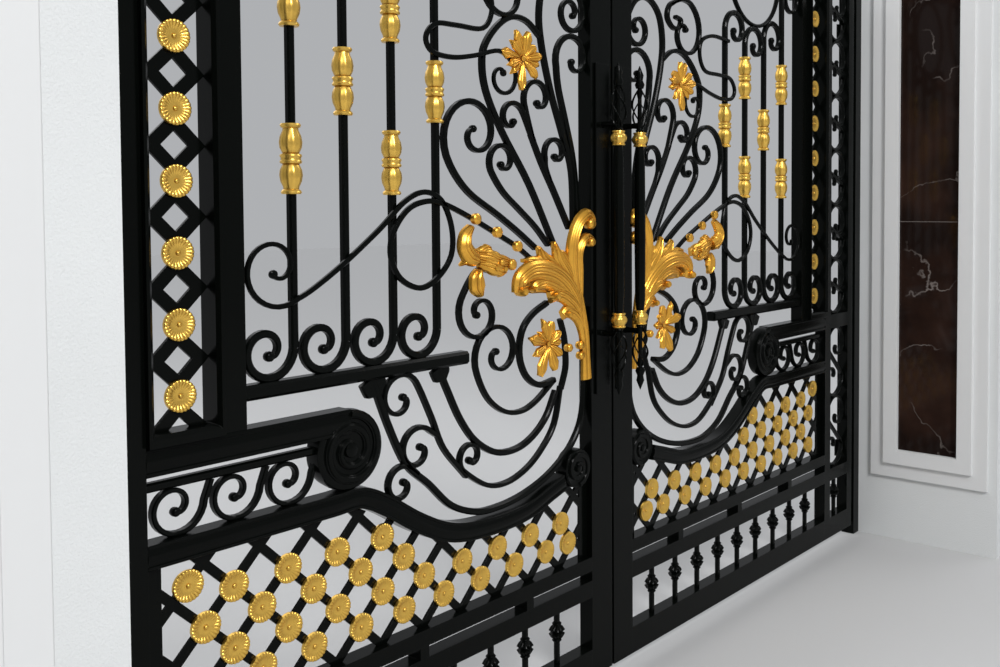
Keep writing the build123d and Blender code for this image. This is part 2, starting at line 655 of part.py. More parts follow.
# Pull handle on the meeting stile
handle_u = MEETING_EDGE + MEETING_STILE / 2
half_length = HANDLE_LENGTH / 2
half_knobs = HANDLE_KNOBS / 2
backplate = Box(BACKPLATE, BACKPLATE_DEPTH, HANDLE_LENGTH)
handle = Pos(handle_u, -BACKPLATE_DEPTH / 2, up(HANDLE_MIDDLE)) * backplate
end_profile = [
    (half_knobs - 16, HANDLE_GRIP / 2),
    (half_knobs, HANDLE_KNOB / 2),
    (half_knobs + 16, HANDLE_GRIP / 2),
    (half_length - 100, HANDLE_GRIP * 0.7),
    (half_length, 6),
]
grip_profile = [(-height, radius) for height, radius in reversed(end_profile)] + end_profile
handle += turned(grip_profile, (handle_u, up(HANDLE_MIDDLE)), -HANDLE_REACH)
for side in (-1, 1):
    arm_height = up(HANDLE_MIDDLE) + side * (half_knobs + 45)
    arm = Box(HANDLE_ARM, HANDLE_REACH, HANDLE_ARM)
    handle += Pos(handle_u, -HANDLE_REACH / 2, arm_height) * arm
leaf["pull_handle"] = [handle]

# Hinges: a barrel at the back of the leaf turns on a pin half on the jamb
hinge_u = LEAF_END + HINGE_GAP / 2
hinge_y = LEAF_DEPTH + HINGE_AXIS_BEHIND
half_barrel = HINGE_LENGTH / 2 - HINGE_CLEARANCE
strap_front = LEAF_DEPTH + HINGE_PLATE / 2
hinge_half = extrude(RegularPolygon(HINGE_RADIUS, 8), amount=half_barrel / 2, both=True)
strap = Box(HINGE_STRAP, HINGE_PLATE, half_barrel)
tongue = Box(HINGE_GAP / 2, HINGE_PLATE, half_barrel)
barrels = []
for height in HINGE_HEIGHTS:
    middle = height + HINGE_LENGTH / 4
    barrel = Pos(hinge_u, hinge_y, middle) * hinge_half
    barrel += Pos(LEAF_END - HINGE_STRAP / 2, strap_front, middle) * strap
    barrel += Pos(LEAF_END + HINGE_GAP / 8, strap_front, middle) * tongue
    barrels.append(barrel)
leaf["hinge_barrels"] = barrels

# The mirrored pair of leaves, moved to the part's own origin at the left pillar's foot
jamb_start = LEAF_END + HINGE_GAP
pillar_face = jamb_start + JAMB_WIDTH
pillar_middle = pillar_face + PILLAR_WIDTH / 2
pillar_centre_y = PILLAR_DEPTH / 2 - PILLAR_FRONT

jamb_post = Box(JAMB_WIDTH, JAMB_DEPTH, JAMB_HEIGHT)
jamb = Pos(jamb_start + JAMB_WIDTH / 2, JAMB_DEPTH / 2, JAMB_HEIGHT / 2) * jamb_post
for height in HINGE_HEIGHTS:
    low = GROUND_GAP + height - HINGE_LENGTH / 4
    jamb += Pos(hinge_u, hinge_y, low) * hinge_half
    jamb += Pos(jamb_start, JAMB_DEPTH + HINGE_PLATE / 2, low) * Box(HINGE_GAP, HINGE_PLATE, half_barrel)

shaft = Box(PILLAR_WIDTH, PILLAR_DEPTH, PILLAR_HEIGHT)
pillar = Pos(pillar_middle, pillar_centre_y, PILLAR_HEIGHT / 2) * shaft
cap = Pos(pillar_middle, pillar_centre_y, PILLAR_HEIGHT + CAP_HEIGHT / 2) * Box(
    PILLAR_WIDTH + 2 * CAP_OVERHANG, PILLAR_DEPTH + 2 * CAP_OVERHANG, CAP_HEIGHT
)


def panel(width):
    """Two-step moulding and the marble inside it, drawn flat about its middle."""
    height = PANEL_TOP - PANEL_FOOT
    outer = Rectangle(width, height)
    step = Rectangle(width - 2 * MOULDING_STEP, height - 2 * MOULDING_STEP)
    inner = Rectangle(width - 2 * MOULDING_WIDTH, height - 2 * MOULDING_WIDTH)
    moulding = extrude(outer - inner, amount=MOULDING_OUTER) + extrude(step - inner, amount=MOULDING_INNER)
    return moulding, extrude(inner, amount=MARBLE_PROUD)


panel_height = (PANEL_FOOT + PANEL_TOP) / 2
reveal_centre_y = REVEAL_MARGIN + REVEAL_PANEL / 2 - PILLAR_FRONT
reveal_plane = Plane(origin=(pillar_face, reveal_centre_y, panel_height), x_dir=(0, 1, 0), z_dir=(-1, 0, 0))
front_plane = Plane(origin=(pillar_middle, -PILLAR_FRONT, panel_height), x_dir=(1, 0, 0), z_dir=(0, -1, 0))
reveal_moulding, reveal_marble = panel(REVEAL_PANEL)
front_moulding, front_marble = panel(PILLAR_WIDTH - 2 * PANEL_MARGIN)
fixed = {
    "pillar": [pillar],
    "pillar_cap": [cap],
    "panel_mouldings": [reveal_plane * reveal_moulding, front_plane * front_moulding],
    "marble_panels": [reveal_plane * reveal_marble, front_plane * front_marble],
    "jamb": [jamb],
}

os.makedirs("parts", exist_ok=True)
for name, pieces in list(leaf.items()) + list(fixed.items()):
    rise = GROUND_GAP if name in leaf else 0
    place = Pos(pillar_middle, -pillar_centre_y, rise)
    right = [place * solid for piece in pieces for solid in piece.solids()]
    left = [mirror(solid, about=Plane.YZ.offset(pillar_middle)) for solid in right]
    export_step(Compound(right), f"parts/right_{name}.step")
    export_step(Compound(left), f"parts/left_{name}.step")
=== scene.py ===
import bmesh
import bpy
import numpy as np
from math import atan2, ceil, cos, hypot, pi, radians, sin, sqrt
from mathutils import Matrix, Vector


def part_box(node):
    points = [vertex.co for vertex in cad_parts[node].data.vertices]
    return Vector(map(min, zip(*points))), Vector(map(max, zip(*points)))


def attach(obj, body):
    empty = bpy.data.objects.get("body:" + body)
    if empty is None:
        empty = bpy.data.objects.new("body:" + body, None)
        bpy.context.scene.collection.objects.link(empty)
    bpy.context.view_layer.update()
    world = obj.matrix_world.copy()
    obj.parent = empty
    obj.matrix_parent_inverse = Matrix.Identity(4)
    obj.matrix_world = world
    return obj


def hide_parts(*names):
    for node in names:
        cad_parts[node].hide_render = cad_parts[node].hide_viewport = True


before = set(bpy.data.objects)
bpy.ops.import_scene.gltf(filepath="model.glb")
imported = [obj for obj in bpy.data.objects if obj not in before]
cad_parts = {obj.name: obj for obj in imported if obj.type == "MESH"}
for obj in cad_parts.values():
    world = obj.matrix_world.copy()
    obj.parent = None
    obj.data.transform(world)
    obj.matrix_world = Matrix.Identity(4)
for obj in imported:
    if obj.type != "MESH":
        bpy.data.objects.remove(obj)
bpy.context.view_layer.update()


# Camera, floor and light
# The camera stands on the street to the left of the gate and looks along it.
# A pale floor and a pale surround stay plain, so that the ironwork reads against them.
CAMERA_PLACE = (-0.3337, -1.7255, 1.545)
CAMERA_YAW = radians(37.806)
CAMERA_PITCH = radians(-2.124)
CAMERA_ROLL = radians(-0.182)
CAMERA_LENS = 36.72
CAMERA_SHIFT = (-0.1055, -0.0896)

camera_data = bpy.data.cameras.new("camera")
camera_data.lens = CAMERA_LENS
camera_data.sensor_width = 36
camera_data.shift_x, camera_data.shift_y = CAMERA_SHIFT
camera = bpy.data.objects.new("camera", camera_data)
bpy.context.collection.objects.link(camera)
ahead = Vector((cos(CAMERA_YAW) * cos(CAMERA_PITCH), sin(CAMERA_YAW) * cos(CAMERA_PITCH), sin(CAMERA_PITCH)))
roll = Matrix.Rotation(CAMERA_ROLL, 3, "Z").to_quaternion()
camera.rotation_mode = "QUATERNION"
camera.location = CAMERA_PLACE
camera.rotation_quaternion = ahead.to_track_quat("-Z", "Y") @ roll
bpy.context.scene.camera = camera
bpy.context.scene.view_settings.view_transform = "Standard"


def new_material(name, colour, roughness, metallic=0.0):
    """A material with its shader nodes, the shader and the tree that holds them."""
    material = bpy.data.materials.new(name)
    material.use_nodes = True
    tree = material.node_tree
    shader = tree.nodes["Principled BSDF"]
    shader.inputs["Base Color"].default_value = (*colour, 1)
    shader.inputs["Roughness"].default_value = roughness
    shader.inputs["Metallic"].default_value = metallic
    return material, tree, shader


def add_node(tree, kind, **values):
    """A shader node with its settings and the constants on its sockets."""
    node = tree.nodes.new(kind)
    for key, value in values.items():
        if hasattr(node, key):
            setattr(node, key, value)
        else:
            node.inputs[key.replace("_", " ")].default_value = value
    return node


def join(tree, *links):
    """Links sockets, each link being a node, its output, the next node and its input."""
    for source, given, target, taken in links:
        tree.links.new(source.outputs[given], target.inputs[taken])


def sum_of(tree, operation, *values):
    """A math node whose inputs are linked to sockets or set to numbers."""
    node = add_node(tree, "ShaderNodeMath", operation=operation)
    for socket, value in zip(node.inputs, values):
        if isinstance(value, (int, float)):
            socket.default_value = value
        else:
            tree.links.new(value, socket)
    return node.outputs[0]


def ranged(tree, low, high, start=0.0, end=1.0):
    """A node that spreads values between low and high from start to end."""
    return add_node(tree, "ShaderNodeMapRange", From_Min=low, From_Max=high, To_Min=start, To_Max=end)


HALF_FLOOR = 30
FLOOR_COLOUR = (0.57, 0.57, 0.57)
FLOOR_ROUGHNESS = 0.9
HORIZON_STRENGTH = 0.07
SKY_STRENGTH = 0.72
BEHIND_STRENGTH = 0.7
SURROUND_COLOUR = (0.95, 0.97, 1.0)
BACKDROP_COLOUR = (0.425, 0.435, 0.450)

floor_mesh = bpy.data.meshes.new("floor")
corners = [(x * HALF_FLOOR, y * HALF_FLOOR, 0) for x, y in ((-1, -1), (1, -1), (1, 1), (-1, 1))]
floor_mesh.from_pydata(corners, [], [(0, 1, 2, 3)])
floor = bpy.data.objects.new("floor", floor_mesh)
bpy.context.collection.objects.link(floor)
floor_mesh.materials.append(new_material("pale_floor", FLOOR_COLOUR, FLOOR_ROUGHNESS)[0])

world = bpy.data.worlds.new("studio")
bpy.context.scene.world = world
world.use_nodes = True
world_tree = world.node_tree
lit = world_tree.nodes["Background"]
lit.inputs["Color"].default_value = (*SURROUND_COLOUR, 1)
seen = add_node(world_tree, "ShaderNodeBackground", Color=(*BACKDROP_COLOUR, 1), Strength=1.0)
direction = add_node(world_tree, "ShaderNodeTexCoord")
facing = add_node(world_tree, "ShaderNodeSeparateXYZ")
sky = ranged(world_tree, 0.12, 0.8, HORIZON_STRENGTH, SKY_STRENGTH)
behind = ranged(world_tree, 0.15, 0.75, 0.0, BEHIND_STRENGTH)
strength = sum_of(world_tree, "ADD", sky.outputs[0], behind.outputs[0])
ray = add_node(world_tree, "ShaderNodeLightPath").outputs
in_view = sum_of(world_tree, "MAXIMUM", ray["Is Camera Ray"], ray["Is Glossy Ray"])
in_view = sum_of(world_tree, "MAXIMUM", in_view, ray["Is Transmission Ray"])
shown = add_node(world_tree, "ShaderNodeMixShader")
world_tree.links.new(strength, lit.inputs["Strength"])
world_tree.links.new(in_view, shown.inputs[0])
join(
    world_tree,
    (direction, "Generated", facing, 0),
    (facing, "Z", sky, "Value"),
    (facing, "Y", behind, "Value"),
    (lit, 0, shown, 1),
    (seen, 0, shown, 2),
    (shown, 0, world_tree.nodes["World Output"], 0),
)

LIGHTS = [
    ("key_light", (-0.9, -7.3, 6.6), (2.4, 0.3, 1.2), 2.1, 510),
    ("fill_light", (6.0, -1.6, 5.6), (0.8, 0.0, 1.4), 1.6, 40),
    ("side_light", (-4.6, -0.8, 7.2), (4.2, 0.0, 1.5), 1.8, 88),
    ("back_light", (2.3, 5.0, 5.0), (2.3, 0.3, 1.2), 4.0, 60),
]
for name, place, aim, size, power in LIGHTS:
    light_data = bpy.data.lights.new(name, "AREA")
    light_data.size = size
    light_data.energy = power
    light = bpy.data.objects.new(name, light_data)
    bpy.context.collection.objects.link(light)
    light.location = place
    light.rotation_mode = "QUATERNION"
    light.rotation_quaternion = (Vector(aim) - Vector(place)).to_track_quat("-Z", "Y")


# Frame of the two leaves
# Welded hollow steel: stiles, rails and an arched top rail, sprayed satin black.
# The CAD nodes are shown as they are, with softened edges from the material.
EDGE_ROUNDING = 0.0018
PAINT_COLOUR = (0.0018, 0.0024, 0.0019)
PAINT_ROUGHNESS = (0.15, 0.25)
PAINT_SHINE = 0.08
PAINT_UNEVENNESS = 9.0
RIPPLE_SCALE = 60.0
RIPPLE_DEPTH = 0.00025
PLAIN_NODES = ("stiles", "rails", "top_rail", "lower_lattice", "strip_lattice", "hinge_barrels")


def cloud_on(tree, scale, detail, **values):
    """A noise texture on the object's own coordinates."""
    place = add_node(tree, "ShaderNodeTexCoord")
    cloud = add_node(tree, "ShaderNodeTexNoise", Scale=scale, Detail=detail, **values)
    join(tree, (place, "Object", cloud, "Vector"))
    return cloud


def painted_steel():
    """Satin black paint, a little uneven, with its edges rounded in the shading."""
    material, tree, shader = new_material("satin_black", PAINT_COLOUR, PAINT_ROUGHNESS[0])
    shader.inputs["Specular IOR Level"].default_value = PAINT_SHINE
    cloud = cloud_on(tree, PAINT_UNEVENNESS, 4.0)
    spread = ranged(tree, 0.0, 1.0, *PAINT_ROUGHNESS)
    ripple = cloud_on(tree, RIPPLE_SCALE, 2.0)
    bump = add_node(tree, "ShaderNodeBump", Strength=0.35, Distance=RIPPLE_DEPTH)
    rounding = add_node(tree, "ShaderNodeBevel", samples=4, Radius=EDGE_ROUNDING)
    join(
        tree,
        (cloud, "Fac", spread, "Value"),
        (spread, "Result", shader, "Roughness"),
        (ripple, "Fac", bump, "Height"),
        (rounding, "Normal", bump, "Normal"),
        (bump, "Normal", shader, "Normal"),
    )
    return material


def dress(name, material):
    """Gives the CAD nodes of both sides a material."""
    for side in ("left", "right"):
        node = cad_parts[f"{side}_{name}"]
        node.data.materials.clear()
        node.data.materials.append(material)


satin_black = painted_steel()
for name in PLAIN_NODES:
    dress(name, satin_black)


# Scrolls of the upper fan
# Square bar drawn down to a taper, bent hot into scrolls whose ends are rolled to a solid
# snub, and welded together where they touch behind the gilt spray.
SCROLL_BAR = 0.0135
STEM = 0.018
SCROLL_TIP = 0.0095
SCROLL_THICKNESS = 0.020
SPIRAL_STEP = radians(12)
SHARP_ANGLE = radians(42)
BAR_DEPTH = 0.025
STRIP_AND_STILE = 0.230
PATTERN_START, PATTERN_END, PATTERN_FOOT = 108, 1330, 385

rails_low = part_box("right_rails")[0]
lattice_low, lattice_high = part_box("right_lower_lattice")
centre_x = (rails_low.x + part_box("left_rails")[1].x) / 2
face_y = rails_low.y
foot_z = rails_low.z
field_start = rails_low.x - centre_x
side_start = lattice_high.x - centre_x
field_end = side_start - STRIP_AND_STILE
lattice_foot = lattice_low.z - foot_z


def across(u):
    """Metres from the meeting line for a place on the full-size pattern, in millimetres."""
    return field_start + (u - PATTERN_START) / (PATTERN_END - PATTERN_START) * (field_end - field_start)


def up(v):
    """Metres above the leaf's foot for a height on the pattern, in millimetres."""
    return lattice_foot + (v - PATTERN_FOOT) / 1000


def drawn(points):
    """Places on the leaf, in metres, for places on the pattern."""
    return [(across(u), up(v)) for u, v in points]


def make_outward(mesh):
    """Turns every face of a mesh outward."""
    work = bmesh.new()
    work.from_mesh(mesh)
    bmesh.ops.recalc_face_normals(work, faces=work.faces)
    work.to_mesh(mesh)
    work.free()


def on_leaf(sign, places):
    """Places in the whole gate for places on one leaf: u, depth, v."""
    return [(centre_x + sign * u, face_y + depth, foot_z + v) for u, depth, v in places]


def hang(piece, side, nodes):
    """Lets a piece ride on its leaf in place of the CAD nodes it stands for."""
    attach(piece, f"{side}_leaf")
    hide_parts(*[f"{side}_{node}" for node in nodes])


class Leafwork:
    """Corners and faces of one piece of a leaf, gathered in metres: u, depth, v."""

    def __init__(self):
        self.corners, self.faces = [], []

    def rings(self, rings, closed=False):
        """A skin through rings of the same number of corners, capped at open ends."""
        first, count = len(self.corners), len(rings[0])
        self.corners += [corner for ring in rings for corner in ring]
        for row in range(len(rings) if closed else len(rings) - 1):
            low, high = first + row * count, first + (row + 1) % len(rings) * count
            for column in range(count):
                after = (column + 1) % count
                self.faces.append((low + column, low + after, high + after, high + column))
        if not closed:
            self.faces.append(tuple(reversed(range(first, first + count))))
            self.faces.append(tuple(range(len(self.corners) - count, len(self.corners))))

    def show(self, name, material=satin_black):
        """Makes the piece on both leaves, mirrored about the meeting line."""
        for side, sign in (("left", -1), ("right", 1)):
            mesh = bpy.data.meshes.new(f"{side}_{name}")
            mesh.from_pydata(on_leaf(sign, self.corners), [], self.faces)
            mesh.validate()
            make_outward(mesh)
            mesh.shade_smooth()
            mesh.set_sharp_from_angle(angle=SHARP_ANGLE)
            mesh.materials.append(material)
            piece = bpy.data.objects.new(f"{side}_{name}_seen", mesh)
            bpy.context.collection.objects.link(piece)
            hang(piece, side, [name])


def smooth_path(points, steps=5):
    """A round path through the points, with the given number of steps between two."""
    spots = [np.array(point, float) for point in points]
    spots = [2 * spots[0] - spots[1]] + spots + [2 * spots[-1] - spots[-2]]
    path = []
    for a, b, c, d in zip(spots, spots[1:], spots[2:], spots[3:]):
        for number in range(steps):
            t = number / steps
            squared, cubed = 2 * a - 5 * b + 4 * c - d, 3 * b - a - 3 * c + d
            path.append(0.5 * (2 * b + (c - a) * t + squared * t**2 + cubed * t**3))
    return path + [spots[-2]]


def spiral(start, eye, sweep, inner, ease):
    """Places along a scroll that winds in from its start about its eye."""
    radius = hypot(start[0] - eye[0], start[1] - eye[1])
    angle = atan2(start[1] - eye[1], start[0] - eye[0])
    count = ceil(abs(radians(sweep)) / SPIRAL_STEP)
    places = []
    for number in range(count + 1):
        share = number / count
        reach = inner + (radius - inner) * (1 - share) ** ease
        turn = angle + radians(sweep) * share
        places.append(np.array((eye[0] + reach * cos(turn), eye[1] + reach * sin(turn))))
    return places


def square_to(path):
    """The unit vector square to a flat path at each of its places."""
    last = len(path) - 1
    sides = []
    for number in range(last + 1):
        run = path[min(number + 1, last)] - path[max(number - 1, 0)]
        run = run / max(np.linalg.norm(run), 1e-9)
        sides.append(np.array((-run[1], run[0])))
    return sides


def circle(sides):
    """The cosine and the sine at even steps round a circle."""
    return [(cos(2 * pi * number / sides), sin(2 * pi * number / sides)) for number in range(sides)]


def sweep_bar(work, path, width, middle=BAR_DEPTH, thickness=SCROLL_THICKNESS, tip=None, foot=None):
    """A bar with softened edges along a flat path, narrowing to its tip."""
    tip = width if tip is None else tip
    foot = width if foot is None else foot
    rings = []
    for number, (spot, side) in enumerate(zip(path, square_to(path))):
        share = number / (len(path) - 1)
        half = (width + (foot - width) * max(0, 1 - 4 * share) + (tip - width) * max(0, share * 2 - 1)) / 2
        deep = thickness / 2
        soft = 0.42 * min(half, deep)
        outline = [
            (half, -deep + soft), (half, deep - soft), (half - soft, deep), (soft - half, deep),
            (-half, deep - soft), (-half, soft - deep), (soft - half, -deep), (half - soft, -deep),
        ]
        ring = []
        for reach, depth in outline:
            place = spot + side * reach
            ring.append((place[0], middle + depth, place[1]))
        rings.append(ring)
    work.rings(rings)


def disc(work, at, outline, sides):
    """A round shape that faces the street, from pairs of reach and depth."""
    rings = []
    for reach, depth in outline:
        rings.append([(at[0] + reach * x, depth, at[1] + reach * z) for x, z in circle(sides)])
    work.rings(rings)


def boss(work, at, radius, middle, thickness, sides=14):
    """A round snub with domed faces at the end of a scroll."""
    dome = [(0.15, -1.0), (0.62, -0.93), (0.92, -0.62), (1.0, 0.0), (0.92, 0.62), (0.62, 0.93), (0.15, 1.0)]
    disc(work, at, [(radius * reach, middle + depth * thickness / 2) for reach, depth in dome], sides)


def forged_scroll(
    work, stem, start, eye, sweep, inner, ease, width=SCROLL_BAR, middle=BAR_DEPTH, thickness=SCROLL_THICKNESS
):
    """A stem that runs into a curl with a snub at its eye, placed on the pattern."""
    foot, hub = drawn([start, eye])
    turned = spiral(foot, hub, sweep, inner / 1000, ease)
    path = smooth_path(drawn(stem) + [foot, turned[3]])[: 5 * len(stem)]
    sweep_bar(work, path + turned, width, middle, thickness, tip=SCROLL_TIP)
    boss(work, turned[-1], SCROLL_TIP * 1.12, middle, thickness * 1.15)


upper_fan = Leafwork()
for scroll in [
    ([(345, 1372), (420, 1421), (508, 1473), (620, 1535)], (688, 1608), (594, 1694), 470, 16, 1.3, 0.0165),
    ([(286, 1379), (345, 1435), (415, 1487), (480, 1535)], (524, 1586), (484, 1624), 340, 12, 0.6, 0.0145),
    ([(355, 1693)], (386, 1784), (332, 1812), 300, 13, 0.5),
    ([(350, 1687)], (395, 1768), (444, 1746), -290, 11, 0.8),
    ([(276, 1568), (296, 1610)], (298, 1638), (252, 1655), 300, 11, 0.5),
    ([(166, 1430), (175, 1602), (218, 1715), (270, 1838), (308, 1960), (322, 2060), (300, 2150), (236, 2196)]
     + [(165, 2180)], (118, 2118), (176, 2087), 420, 14, 0.8, STEM),
    ([(141, 1430), (165, 1627), (203, 1756), (234, 1850)], (244, 1916), (162, 1946), 340, 13, 0.7, STEM),
    ([(368, 2194), (430, 2222)], (500, 2218), (462, 2110), -370, 12, 1.0),
]:
    forged_scroll(upper_fan, *scroll)
for points, width, tip in [
    ([(258, 1375), (371, 1561), (485, 1709), (549, 1820), (562, 1905), (542, 1958), (490, 2012), (435, 2038)]
     + [(375, 2033), (318, 1996)], STEM, SCROLL_BAR),
    ([(188, 1428), (257, 1538), (316, 1626), (362, 1706)], STEM, SCROLL_BAR),
    ([(403, 2158), (436, 2150), (424, 2122), (385, 2119), (352, 2150), (368, 2194), (430, 2222)],
     SCROLL_BAR, SCROLL_BAR),
]:
    sweep_bar(upper_fan, smooth_path(drawn(points)), width, tip=tip)
upper_fan.show("upper_fan")


# Big ring and scrolls of the lower fan
# The same forged bar below the gilt spray: one heavy bar swings round from the meeting
# stile up to the rail, and lighter scrolls spring from the foot of the spray inside it.
RING_BAR = 0.018
HEAVY_BAR = 0.0175

lower_fan = Leafwork()
for points, width in [
    ([(116, 1180), (114, 1000), (120, 890), (134, 825), (165, 774), (214, 728), (280, 689), (352, 662)]
     + [(432, 644), (517, 637), (600, 644), (695, 684), (776, 760), (854, 830), (913, 944), (962, 1066)],
     RING_BAR),
    ([(293, 1205), (355, 1178), (398, 1141), (416, 1090), (411, 1038), (382, 990), (330, 962), (262, 968)],
     HEAVY_BAR),
    ([(232, 1150), (214, 1100), (207, 1050), (207, 997), (230, 935)], SCROLL_BAR),
    ([(256, 934), (299, 862), (361, 813), (434, 789), (520, 796), (600, 843), (658, 913), (705, 1000)]
     + [(738, 1066)], HEAVY_BAR),
]:
    sweep_bar(lower_fan, smooth_path(drawn(points)), width)
for scroll in [
    ([(262, 968), (347, 915), (414, 896), (485, 908), (550, 955)], (592, 1030), (506, 1076), 425, 12, 0.8),
    ([(232, 945), (262, 835), (320, 768), (390, 722), (475, 699), (560, 711)],
     (652, 772), (620, 802), 340, 10, 0.6),
    ([(637, 751), (721, 845), (763, 935)], (810, 1027), (872, 1004), -340, 11, 0.5),
    ([(748, 887)], (768, 900), (814, 860), -340, 11, 0.5),
    ([(815, 796)], (834, 812), (872, 779), -340, 11, 0.5),
    ([(533, 1312), (590, 1316)], (643, 1254), (580, 1197), -420, 12, 0.85),
]:
    forged_scroll(lower_fan, *scroll)
lower_fan.show("lower_fan")


# Looping bar and wavy bar
# Two bars laid over the face of the uprights: the lower one makes a full oval loop before
# its scroll, the upper one waves back and forth to a small scroll.
OVERLAY_THICKNESS = 0.012
overlay_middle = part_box("right_long_scroll")[0].y - face_y + OVERLAY_THICKNESS / 2

overlay = Leafwork()
forged_scroll(
    overlay,
    [(372, 1336), (440, 1378), (511, 1412), (640, 1470), (738, 1505), (800, 1507), (855, 1485), (900, 1430)]
    + [(909, 1370), (878, 1312), (812, 1284), (749, 1308), (700, 1365), (698, 1440), (733, 1510), (794, 1533)]
    + [(862, 1508), (941, 1442), (1042, 1368), (1130, 1312)],
    (1186, 1284), (1246, 1356), 425, 14, 0.9, 0.0145, overlay_middle, OVERLAY_THICKNESS,
)
forged_scroll(
    overlay,
    [(742, 2113), (628, 2118), (552, 2092), (538, 2035), (575, 1985), (672, 1980), (750, 1974), (784, 1935)]
    + [(762, 1900), (690, 1893), (607, 1907), (510, 1931)],
    (458, 1906), (497, 1860), 340, 12, 0.7, SCROLL_BAR, overlay_middle, OVERLAY_THICKNESS,
)
overlay.show("long_scroll")


# Upright bars
# Four square bars that curl at the foot on the rail and bend over to a crook at the top;
# the one nearest the hinge runs straight up to the arched rail.
UPRIGHT = 0.020
UPRIGHT_TIP = 0.011
BAR_PITCH = 0.149
FIRST_BAR = 0.140
FOOT_CURL = 0.072
CROOK = 0.076
CURL_EYE = 0.014
CURL_SNUB = (0.0125, 0.0135)
SNUB_DEPTH = 0.022
RAIL_TOP = up(1100)
bar_places = [field_end - FIRST_BAR - number * BAR_PITCH for number in range(4)]
tall_bar_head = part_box("right_upright_bars")[1].z - foot_z - 0.002


def straight(start, end):
    """A path with nothing between its two ends."""
    return [np.array(start), np.array(end)]


uprights = Leafwork()
for number, middle in enumerate(bar_places):
    eye = (middle + FOOT_CURL, RAIL_TOP + FOOT_CURL - 0.003)
    head = up(2126 if number == 2 else 2166)
    curls = [spiral((middle, eye[1]), eye, 425, CURL_EYE, 0.8)]
    if number:
        curls.append(spiral((middle, head), (middle + CROOK, head), -340, CURL_EYE, 0.7))
    else:
        head = tall_bar_head
    for path, snub in zip(curls, CURL_SNUB):
        sweep_bar(uprights, path, UPRIGHT, thickness=UPRIGHT, tip=UPRIGHT_TIP)
        boss(uprights, path[-1], snub, BAR_DEPTH, SNUB_DEPTH)
    sweep_bar(uprights, straight((middle, eye[1]), (middle, head)), UPRIGHT, thickness=UPRIGHT)
uprights.show("upright_bars")


# Ring and scrolls under the arched rail
# The part above the photograph's top edge: a ring held between the crooks and the rail,
# and a pair of scrolls on the upper fan, in the same forged bar.
RING_PLACE = (across(966), up(2203))
RING_SECTION = (0.008, 0.010)
RING_GAP = 0.004
ARCH_RADIUS = 7.7
TOP_RAIL = 0.050
arch_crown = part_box("right_top_rail")[1].z - foot_z - TOP_RAIL


def arch_under(u):
    """The underside of the arched rail at a distance from the meeting line."""
    return arch_crown - ARCH_RADIUS + sqrt(ARCH_RADIUS**2 - u**2)


crown = Leafwork()
ring_radius = (arch_under(RING_PLACE[0]) - RING_PLACE[1]) / 2 - RING_GAP
hoop = []
for x, z in circle(56):
    ring = []
    for wide, deep in circle(10):
        reach = ring_radius + RING_SECTION[0] * wide
        depth = BAR_DEPTH + RING_SECTION[1] * deep
        ring.append((RING_PLACE[0] + reach * x, depth, RING_PLACE[1] + ring_radius + reach * z))
    hoop.append(ring)
crown.rings(hoop, closed=True)
for scroll in [
    ([(430, 2226), (520, 2290), (610, 2380)], (640, 2470), (560, 2552), 335, 16, 1.0),
    ([(450, 2226), (340, 2290), (240, 2380)], (200, 2480), (280, 2560), -335, 16, 1.0),
    ([(1120, 2560), (1220, 2500), (1290, 2430)], (1320, 2370), (1262, 2350), -335, 14, 0.6),
]:
    forged_scroll(crown, *scroll)
crown.show("crown_scrolls")


# S-scrolls beside the hinge stile
# A ladder of S-shaped scrolls in flat bar, each as wide as the strip it fills and welded
# to the next. The gate shows only an edge of them, so their shape is the usual one.
STRIP_BAR = 0.012
STRIP_TIP = 0.009
STRIP_SNUB = (0.0105, 0.017)
UPPER_S_SCROLLS = 6
LOWER_S_SCROLLS = 2
LOW_STRIP_FOOT = 0.310
WAIST_TOP = 1.006
WAIST_RAIL = 0.061
strip_start, strip_end = [corner.x - centre_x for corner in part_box("right_side_scrolls")]

side_work = Leafwork()
s_reach = (strip_end - strip_start) * 0.38
s_drop = (strip_end - strip_start) * 0.5
for run_foot, run_head, count in [
    (WAIST_TOP, arch_under(strip_start), UPPER_S_SCROLLS),
    (LOW_STRIP_FOOT, WAIST_TOP - WAIST_RAIL, LOWER_S_SCROLLS),
]:
    height = (run_head - run_foot) / count
    for number in range(count):
        foot = run_foot + number * height
        low_eye = (strip_start + s_reach, foot + s_drop)
        high_eye = (strip_end - s_reach, foot + height - s_drop)
        lower = spiral((strip_end - STRIP_BAR / 2, low_eye[1]), low_eye, -330, CURL_EYE, 0.75)
        upper = spiral((strip_start + STRIP_BAR / 2, high_eye[1]), high_eye, -330, CURL_EYE, 0.75)
        sweep_bar(side_work, lower[::-1] + upper, STRIP_BAR, tip=STRIP_TIP, foot=STRIP_TIP)
        for end in (lower[-1], upper[-1]):
            boss(side_work, end, STRIP_SNUB[0], BAR_DEPTH, STRIP_SNUB[1])
side_work.show("side_scrolls")


# Thin rail with three graceful scrolls
# Three scrolls in light bar stand between the heavy rail and the ogee band, welded under
# a thin rail that runs from the side stile.
GRACE_PITCH = 0.137
GRACE_PLACE = 0.071
GRACE_REACH = 0.068
GRACE_EYE = 0.062
GRACE_LEAN = 0.016
GRACE_BAR = (0.0115, 0.019)
THIN_RAIL = 0.020
row_low, row_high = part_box("right_scroll_row")
row_top = row_high.z - foot_z
band_top = up(806)

